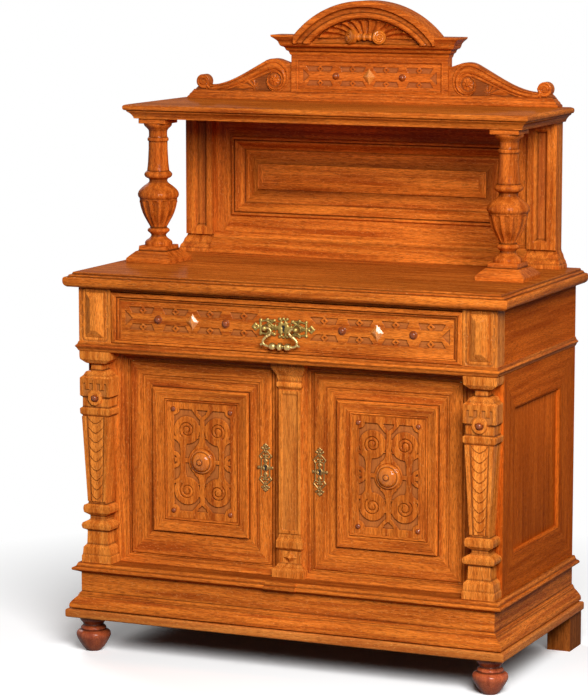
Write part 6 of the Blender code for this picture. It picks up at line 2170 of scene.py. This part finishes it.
@dataclass
class Crest:
    """The moulded base, carved tablet, cornice, arched pediment with its shell, and two scrolled wings."""

    base: Span = (0.493, 0.031)
    tablet: Span = (0.215, 0.2705)
    cornice: Span = (0.041, 0.040)
    chord: float = 0.1925
    radius: float = 0.2527
    centre: float = 1.3673
    depth: float = 0.072
    foot: float = 1.510
    archivolt: float = 0.0452
    relief: float = 0.009
    tympanum: float = 0.2585
    flutes: int = 11
    wing_y: float = 0.2765
    volute: Place = (0.050, 0.028, 0.055)
    curl: Place = (0.2538, 0.020, 0.0185)
    wing_root: float = 0.069
    wing_length: float = 0.277

    def make(self, shop: Workshop) -> None:
        """Builds the crest's pieces.

        Args:
            shop: The workshop that finishes and fits them.
        """
        foot = [(1, 0), (1, 0.22), (0.72, 0.30), (0.60, 0.52), (0.28, 0.66), (0.20, 0.82), (0, 0.88), (0, 1)]
        base = moulded(
            foot, (-self.base[0], self.base[0]), (BODY.back - self.base[1], BODY.back),
            (BODY.crest + GAP, BODY.tablet), 0.0156, 0.006
        )
        half, face = self.tablet

        def panel(x: Array, z: Array) -> tuple[Array, Array]:
            """The tablet's face: a border, a small bead, and a sunk panel with a band of strapwork.

            Args:
                x: Places across.
                z: Heights.

            Returns:
                The rise and the share of matted ground.
            """
            far = plate(x, z, (0.0, 1.4275), (0.199, 0.0385))
            inside = lift(far + 0.002, 0.003)
            rise, ground = strap_band(x, z - 1.4265, (0.0911,), (0.0,), (0.046, 0.136), -1.0, 0.1836, 0.0250)
            bead = 0.0012 * np.exp(-(((far + 0.0005) / 0.0020) ** 2))
            return bead - 0.0026 * inside + 0.8 * rise * inside, ground * inside

        field = carved(
            (-half, half), (BODY.tablet - 0.004, BODY.cornice + 0.001), face, BODY.back - 0.0004, panel,
            Grain.WIDTH, 0.0012
        )
        plane = face + 0.0026
        bosses = studs([(-0.0911, 1.4265), (0.0911, 1.4265)], 0.0095, 0.0085, plane)
        shop.fit(
            "crest_tablet_carved", Shape.join(base, field, *self.cornices()), "crest_tablet",
            material=shop.chestnut
        )
        shop.fit("crest_bosses", Shape.join(*bosses), material=shop.rubbed)
        shop.fit(
            "crest_point", Shape.join(*diamonds([(0.0, 1.4265)], (0.0172, 0.0205), 0.0092, plane)),
            material=shop.pointed
        )
        shop.fit("pediment_arch", Shape.join(self.arch(), self.shell()), "crest_arch", material=shop.chestnut)
        shop.fit("shell_bolster", Shape.join(*self.bolster()), material=shop.polished)
        wing = self.wing()
        for label, side in SIDES.items():
            shop.fit(
                f"scroll_wing_{label}", wing if side > 0 else wing.mirrored(), f"{label}_crest_wing",
                material=shop.chestnut
            )

    def cornices(self) -> list[Shape]:
        """The cornice: whole up to the arch's seat, and above that only at its two ends.

        Returns:
            The whole part and the two ends.
        """
        half, face = self.tablet
        crown = [
            (0, 0), (0.08, 0.06), (0.12, 0.20), (0.26, 0.24), (0.32, 0.40), (0.50, 0.44), (0.58, 0.52),
            (0.64, 0.68), (0.76, 0.77), (0.90, 0.86), (1, 0.91), (1, 1)
        ]
        z, y = (BODY.cornice, BODY.arch), (face, BODY.back - GAP)
        seat = (self.foot - z[0]) / (z[1] - z[0])
        lower = moulded(crown, (-half, half), y, z, self.cornice[0], self.cornice[1], part=(0.0, seat))
        end = moulded(
            crown, (self.chord + GAP, half), y, z, (0.0, self.cornice[0]), self.cornice[1], part=(seat, 1.0)
        )
        return [lower, end, end.mirrored()]

    def arch(self) -> Shape:
        """The archivolt: a moulded section carried along a bow, with two short legs down to the seat.

        Returns:
            The archivolt.
        """
        steps = [
            (0, 0.44), (0.03, 0.12), (0.08, 0), (0.30, 0), (0.34, 0.10), (0.36, 0.67), (0.48, 0.95),
            (0.62, 1.0), (0.68, 0.86), (0.70, 0.56), (0.84, 0.50), (0.92, 0.78), (0.97, 1.1)
        ]
        face = BODY.back - self.depth
        line = spaced(softened(np.array(steps) * (self.archivolt, self.relief)), 0.0015)
        section = np.concatenate(
            [[(0.0, self.depth)], line, [(self.archivolt, 0.030), (self.archivolt, self.depth)]]
        )
        r, y = self.radius - section[:, :1], face + section[:, 1:]
        spread = np.minimum(
            np.arccos((self.foot + 0.0035 - self.centre) / r), np.arcsin(np.minimum(1.0, self.chord / r))
        )
        angle = spread * np.linspace(-1.0, 1.0, 73)[None]
        x, z = r * np.sin(angle), self.centre + r * np.cos(angle)
        seat = np.full_like(r, self.foot)
        x, z = np.hstack([x[:, :1], x, x[:, -1:]]), np.hstack([seat, z, seat])
        points = np.stack([x, np.broadcast_to(y, x.shape), z], axis=-1)
        shade_rows = hollows(section * (1.0, -1.0), -1)
        shade_rows[[0, -1, -2]] = 0.0
        turned_grid = np.swapaxes(points, 0, 1)
        return Shape.grid(
            turned_grid, wrap_v=True, grains=Grain.WIDTH,
            hollow=np.broadcast_to(shade_rows, turned_grid.shape[:2]), caps=Grain.HEIGHT
        )

    def shell(self) -> Shape:
        """The shell: a fan of hollow flutes with sharp ribs and scalloped lips under the archivolt.

        Each rib runs from a point beside the bolster to a point on the archivolt, evenly spaced along both,
        and bows up a little between them; across a flute the depth is one less the square of the distance
        from its middle line, it grows outwards, and the lip rises again at the rim.

        Returns:
            The fan and the plinth below it.
        """
        foot = self.foot + 0.015
        inner = self.radius - self.archivolt + 0.001
        place = np.linspace(-1.0, 1.0, 34 * self.flutes + 1)[None]
        share = np.linspace(0.0, 1.0, 80)[:, None]
        spread = math.acos((foot - self.centre) / inner)
        rim_x, rim_z = inner * np.sin(spread * place), self.centre + inner * np.cos(spread * place)
        root_x, root_z = 0.052 * place, foot + 0.002 * (1 - place**2)
        bow = share * (1 - share)
        x = root_x + share * (rim_x - root_x) - 0.030 * bow * place
        z = root_z + share * (rim_z - root_z) + 0.040 * bow * np.abs(place) * (1 - place**2)
        across = np.mod((place + 1) / 2 * self.flutes, 1.0) * 2 - 1
        dish = 0.0105 * (1 - across**2) * np.minimum(1.0, 0.25 + share * 1.4)
        lip = share - (0.95 - 0.07 * across**2)
        rim = 0.0070 * np.exp(-((lip / 0.035) ** 2)) - 0.004 * lift(-lip + 0.03, 0.04)
        rib = 0.0022 * np.exp(-(((1 - np.abs(across)) / 0.12) ** 2))
        rise = 0.0100 * share**1.5 - dish + rim + rib + 0.003
        front = np.stack([x, self.tympanum - rise, z], axis=-1)
        # Painted shade: darker in the middle of each flute, past the lips under the archivolt, and towards
        # the bolster at the root.
        dark = (1 - across**2) ** 2 * 0.45 + 0.5 * lift(-lip + 0.03, 0.04) + 0.5 * lift(share - 0.12, 0.2)
        deep = np.clip(dark, 0.0, 1.0) * 0.55
        fan = slab(front, BODY.back - 0.0006, Grain.HEIGHT, deep)
        half = self.chord - 0.012
        plinth = block(
            (-half, half), (self.tympanum - 0.004, BODY.back - 0.0008), (self.foot, foot + 0.001),
            Grain.WIDTH
        )
        return Shape.join(fan, plinth)

    def bolster(self) -> list[Shape]:
        """The scroll at the shell's foot: a ringed bolster between two spiral volutes turned outwards.

        Returns:
            The bolster and its two volutes.
        """
        y, z = BODY.back - self.depth + 0.015, 1.5285
        ringed = [
            (0.75, 1), (0.80, 0.86), (1, 0.80), (1, 0.74), (0.78, 0.70), (0.72, 0.58), (0.92, 0.55),
            (1, 0.50)
        ]
        ringed += [(r, 1 - h) for r, h in reversed(ringed[:-1])]
        bar = turned(ringed, (-0.030, y, z), 0.0098, 0.060, Facing.ACROSS, 32, grain=Grain.WIDTH)

        def face(p: Array, q: Array, d: Array) -> Array:
            """A spiral band that rises to its eye.

            Args:
                p: Places across.
                q: Heights.
                d: Distance to the outline.

            Returns:
                The rise.
            """
            coil = trail(p, q, scroll((0.0, 0.0), 0.0148, 0.0036, 2.1, math.radians(200)))
            swell = 0.0030 * (1 - np.exp(np.minimum(d, 0.0) / 0.002))
            return swell - 0.0022 * lift(coil - 0.0007, 0.0014) + 0.003 * lift(np.hypot(p, q) - 0.003, 0.004)

        spiral = cast(
            (-0.0190, 0.0190), (-0.0190, 0.0190), 0.0, 0.012, lambda p, q: disc(p, q, (0.0, 0.0), 0.0178),
            face, pitch=0.0006
        )
        turn = math.radians(38)
        x0, y0, z0 = spiral.points.T
        placed = np.stack(
            [
                0.041 + x0 * math.cos(turn) - y0 * math.sin(turn),
                y - 0.004 + x0 * math.sin(turn) + y0 * math.cos(turn), z + z0
            ],
            axis=1
        )
        right = spiral.moved(placed)
        return [bar, right, right.mirrored()]

    def wing_edge(self) -> tuple[Array, Array]:
        """The scrolled upper edge of a wing, and its whole outline from the tablet outwards.

        The edge is an arc of the large volute, a cubic curve that leaves it along its tangent and levels
        out, and an arc of the small curl.

        Returns:
            The points of the edge and of the whole outline.
        """
        vx, vz, vr = self.volute
        cx, cz, cr = self.curl
        first, last, meet = math.radians(112), math.radians(62), math.radians(205)
        angle = np.linspace(first, last, 12)
        arc = np.stack([vx + vr * np.cos(angle), vz + vr * np.sin(angle)], axis=1)
        end = np.array([cx + cr * math.cos(meet), cz + cr * math.sin(meet)])
        span = end[0] - arc[-1, 0]
        knots = np.array(
            [
                arc[-1], arc[-1] + np.array([math.sin(last), -math.cos(last)]) * 0.42 * span,
                end - (0.34 * span, 0.0), end
            ]
        )
        t = np.linspace(0.0, 1.0, 34)[1:-1, None]
        fall = (
            (1 - t) ** 3 * knots[0]
            + 3 * t * (1 - t) ** 2 * knots[1]
            + 3 * t * t * (1 - t) * knots[2]
            + t**3 * knots[3]
        )
        angle = np.linspace(meet, math.radians(-40), 24)
        curl = np.stack([cx + cr * np.cos(angle), cz + cr * np.sin(angle)], axis=1)
        edge = np.concatenate([arc, fall, curl])
        whole = np.concatenate([[(0.0, 0.0), (0.0, self.wing_root)], edge, [(self.wing_length, 0.0)]])
        return edge, whole

    def wing(self) -> Shape:
        """The right wing: a reeded band that winds into a large volute with a rosette, over a leafy spandrel.

        Returns:
            The wing.
        """
        edge, whole = self.wing_edge()
        vx, vz, vr = self.volute
        cx, cz, cr = self.curl
        left, foot = self.tablet[0] + GAP, BODY.tablet + GAP
        fall = edge[11:44]

        def outline(x: Array, z: Array) -> Array:
            """Signed distance to the wing's outline."""
            u, v = x - left, z - foot
            return trail(u, v, np.concatenate([whole, whole[:1]])) * np.where(within(u, v, whole), -1.0, 1.0)

        def reeds(inset: Array) -> Array:
            """Rise across the band, from its outer edge inwards: fillet, groove, broad round, groove, bead.

            Args:
                inset: Distance from the band's outer edge.

            Returns:
                The rise.
            """
            places = [
                0.0, 0.0012, 0.0070, 0.0082, 0.0098, 0.0120, 0.0170, 0.0225, 0.0250, 0.0262, 0.0280, 0.0310,
                0.0330
            ]
            levels = [
                0.0020, 0.0045, 0.0045, 0.0015, 0.0015, 0.0050, 0.0072, 0.0050, 0.0015, 0.0015, 0.0040,
                0.0036, 0.0
            ]
            return np.interp(inset, places, levels, right=0.0)

        def relief(x: Array, z: Array, _far: Array) -> Array:
            """The carving: band and volute stand highest where they meet, the rosette fills the volute.

            Args:
                x: Places across.
                z: Heights.
                _far: Distance to the outline, which the carving doesn't need.

            Returns:
                The rise.
            """
            u, v = x - left, z - foot
            spot, turn = np.hypot(u - vx, v - vz), np.arctan2(v - vz, u - vx)
            along = np.clip((u - vx) / (cx - vx), 0.0, 1.0)
            inset = trail(u, v, fall) * (0.92 + 0.95 * along)
            band = np.where(u > vx, reeds(inset), 0.0)
            # The band winds in: its outer radius shrinks as it goes over the top, down beside the tablet and
            # under the rosette.
            outer = np.interp(
                np.mod(np.degrees(turn) - 62, 360) + 62, (62, 90, 180, 270, 360, 422),
                (vr, 0.0540, 0.0390, 0.0305, 0.0215, 0.0200)
            )
            ringed = (reeds(0.033 * (outer - spot) / (outer - 0.0185)) + 0.0006) * (spot < outer)
            dome = np.sqrt(np.maximum(1 - (spot / 0.0160) ** 2, 0.0))
            petals = 0.0058 * dome * (0.55 + 0.45 * np.abs(np.cos(4 * turn)))
            petals = np.where(spot < 0.0160, petals + 0.0030 * lift(spot - 0.0045, 0.003), 0.0)
            leaf_turn = np.arctan2(v - 0.004, u - 0.105)
            veins = np.abs(np.sin(5.5 * leaf_turn + 18 * np.hypot(u - 0.105, v)))
            leaves = 0.0032 * veins * lift(np.hypot(u - 0.128, (v - 0.012) * 1.6) - 0.030, 0.02)
            tip = np.hypot(u - cx, v - cz)
            coil = trail(u, v, scroll((cx, cz), 0.0150, 0.0040, 1.5, math.radians(180), -1))
            rim = lift(np.abs(tip - cr + 0.0005) - 0.0012, 0.002)
            curled = 0.0058 - 0.0026 * lift(coil - 0.0010, 0.0018) - 0.0020 * rim
            small = np.where(tip < cr, curled, 0.0)
            bracket = np.where((u < vx) & (spot > outer), 0.0022, 0.0)
            return np.maximum.reduce([np.where(spot < outer, ringed, band), petals, small, leaves, bracket])

        def matted(x: Array, z: Array, far: Array) -> Array:
            """The low parts of the carving are matted ground."""
            return 0.7 * lift(relief(x, z, far) - 0.0014, 0.0012)

        # Painted shade: the lowest places of the carving are darkened strongly, as shade in its grooves.
        return cast(
            (left - 0.002, left + self.wing_length + 0.002),
            (foot - 0.002, foot + 0.088),
            self.wing_y + 0.0030,
            BODY.back - 0.0004,
            outline,
            relief,
            Grain.WIDTH,
            0.0011,
            matted,
            (0.60, 1.7),
        )


@dataclass
class Kept:
    """The solids that stay as they are, with their finish and the direction of their fibres."""

    iron: tuple[str, ...] = ("left_door_lock", "right_door_lock", "drawer_lock")
    brass: tuple[str, ...] = (
        "left_door_bolt",
        "right_door_bolt",
        "drawer_bolt",
        "left_door_upper_pivot",
        "left_door_lower_pivot",
        "right_door_upper_pivot",
        "right_door_lower_pivot",
    )
    inner: tuple[tuple[str, Grain], ...] = (
        ("inner_shelf", Grain.WIDTH),
        ("left_drawer_guide", Grain.DEPTH),
        ("right_drawer_guide", Grain.DEPTH),
        ("drawer_left_side", Grain.DEPTH),
        ("drawer_right_side", Grain.DEPTH),
        ("drawer_back", Grain.WIDTH),
        ("drawer_bottom", Grain.WIDTH),
    )
    oak: tuple[tuple[str, Grain], ...] = (
        ("left_frieze_side", Grain.DEPTH),
        ("right_frieze_side", Grain.DEPTH),
    )
    feet: tuple[tuple[str, Grain], ...] = (
        ("left_rear_foot", Grain.HEIGHT), ("right_rear_foot", Grain.HEIGHT)
    )

    def dress(self, nodes: dict[str, bpy.types.Object], shop: Workshop) -> None:
        """Gives every kept solid its material.

        Args:
            nodes: The solids by name.
            shop: The workshop with the finishes.
        """
        chosen: dict[str, bpy.types.Material] = {name: shop.stock[Slot.IRON] for name in self.iron}
        chosen |= {name: shop.stock[Slot.BRASS] for name in self.brass}
        made: dict[tuple[str, Grain], bpy.types.Material] = {}
        for finish, listed in ((INNER_OAK, self.inner), (SIDE_OAK, self.oak), (FOOT_OAK, self.feet)):
            for name, grain in listed:
                key = (finish.name, grain)
                made[key] = made.get(key) or finish.make(grain)
                chosen[name] = made[key]
        for name, solid in nodes.items():
            for slot in solid.material_slots:
                slot.material = chosen.get(name, shop.stock[Slot.OAK])


@dataclass
class Studio:
    """A pale floor, a white surround, two large soft lamps and the camera of the photograph."""

    camera: Place = (2.8802, -6.7318, 1.8306)
    turn: Place = (math.pi / 2 - 0.1448, 0.0, 0.4153)
    lens: float = 181.87
    sensor: float = 36.0
    view_end: float = 60.0
    aim: Place = (0.0, -0.1, 0.80)
    lamp_size: float = 2.4
    lamps: tuple[tuple[str, Place, float], ...] = (
        ("key_softbox", (2.55, -3.78, 3.10), 400.0),
        ("rear_softbox", (-3.60, 3.00, 3.30), 100.0),
    )
    ambient: float = 0.035
    floor_half: float = 6.0
    floor_level: Span = (0.09, 1.20)
    floor_fade: Span = (0.56, 1.60)

    def make(self) -> None:
        """Sets the camera, the lamps, the surround and the floor."""
        scene = bpy.context.scene
        scene.view_settings.view_transform = "Standard"
        data = bpy.data.cameras.new("photo_camera")
        data.sensor_fit, data.sensor_width, data.lens = "HORIZONTAL", self.sensor, self.lens
        data.clip_end = self.view_end
        camera = bpy.data.objects.new("photo_camera", data)
        camera.location, camera.rotation_euler = self.camera, self.turn
        scene.collection.objects.link(camera)
        scene.camera = camera
        for name, place, power in self.lamps:
            self.lamp(name, place, power)
        self.surround(scene)
        self.floor(scene)

    def lamp(self, name: str, place: Place, power: float) -> None:
        """Sets up a square softbox that looks at the middle of the cabinet.

        Args:
            name: Its name.
            place: Where it stands.
            power: Its power, in watts.
        """
        data = bpy.data.lights.new(name, "AREA")
        data.shape, data.size, data.energy = "SQUARE", self.lamp_size, power
        lamp = bpy.data.objects.new(name, data)
        lamp.location = place
        aim = np.array(self.aim) - np.array(place)
        tilt = math.acos(-aim[2] / np.linalg.norm(aim))
        lamp.rotation_euler = (tilt, 0.0, math.atan2(-aim[0], aim[1]))
        bpy.context.scene.collection.objects.link(lamp)

    def surround(self, scene: bpy.types.Scene) -> None:
        """Makes the surround: white where camera, mirror or glass see it, a soft ambient level for all else.

        Args:
            scene: The scene that it is for.
        """
        world = bpy.data.worlds.new("white_surround")
        world.use_nodes = True
        tree = world.node_tree
        tree.nodes.clear()
        levels = {0: self.seen(tree), 1: 0.0, 2: 1.0, 3: self.ambient, 4: 1.0}
        strength = add(tree, "MapRange", levels).outputs[0]
        back = add(tree, "Background", {"Color": linear("#FFFFFF"), "Strength": strength})
        add(tree, "OutputWorld", {0: back.outputs[0]})
        scene.world = world

    def seen(self, tree: Tree) -> Socket:
        """Tells what the picture shows from what only lights it.

        Args:
            tree: The nodes that need it.

        Returns:
            1 on rays from the camera, from a gloss or through glass, and 0 on all others.
        """
        path = add(tree, "LightPath").outputs
        rays = {0: path["Is Camera Ray"], 1: path["Is Glossy Ray"]}
        either = add(tree, "Math", rays, operation="MAXIMUM").outputs[0]
        return add(tree, "Math", {0: either, 1: path["Is Transmission Ray"]}, operation="MAXIMUM").outputs[0]

    def floor(self, scene: bpy.types.Scene) -> None:
        """Lays a matt pale floor that keeps the cabinet's shadow and fades into the surround with distance.

        Args:
            scene: The scene that it is for.
        """
        mesh = bpy.data.meshes.new("studio_floor")
        s = self.floor_half
        mesh.from_pydata([(-s, -s, 0.0), (s, -s, 0.0), (s, s, 0.0), (-s, s, 0.0)], [], [(0, 1, 2, 3)])
        floor = bpy.data.objects.new("studio_floor", mesh)
        scene.collection.objects.link(floor)
        material, tree = blank("matt white studio floor")
        low, high = self.floor_level
        level = add(tree, "MapRange", {0: self.seen(tree), 1: 0.0, 2: 1.0, 3: low, 4: high}).outputs[0]
        tint = add(tree, "CombineColor", {0: level, 1: level, 2: level}).outputs[0]
        matt = add(tree, "BsdfDiffuse", {"Color": tint}).outputs[0]
        white = add(tree, "Emission", {"Color": linear("#FFFFFF"), "Strength": 1.0}).outputs[0]
        place = add(tree, "TexCoord").outputs["Object"]
        far = add(tree, "VectorMath", {0: place}, operation="LENGTH").outputs["Value"]
        near, end = self.floor_fade
        fade = add(tree, "MapRange", {0: far, 1: near, 2: end, 3: 0.0, 4: 1.0}).outputs[0]
        fade = add(tree, "Math", {0: fade, 1: self.seen(tree)}, operation="MULTIPLY").outputs[0]
        add(tree, "OutputMaterial", {0: add(tree, "MixShader", {0: fade, 1: matt, 2: white}).outputs[0]})
        mesh.materials.append(material)


def main() -> None:
    """Builds the cabinet's looks from the floor up, then the studio."""
    logging.basicConfig(level=logging.INFO, format="%(name)s: %(message)s")
    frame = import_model()
    shop = Workshop()
    Kept().dress(frame["nodes"], shop)
    Plinth().make(shop)
    Cupboard().make(shop)
    for label in SIDES:
        Door(label).make(shop)
    Frieze().make(shop)
    Niche().make(shop)
    Crest().make(shop)
    Studio().make()
    LOG.info("boxes written")


if __name__ == "__main__":
    main()
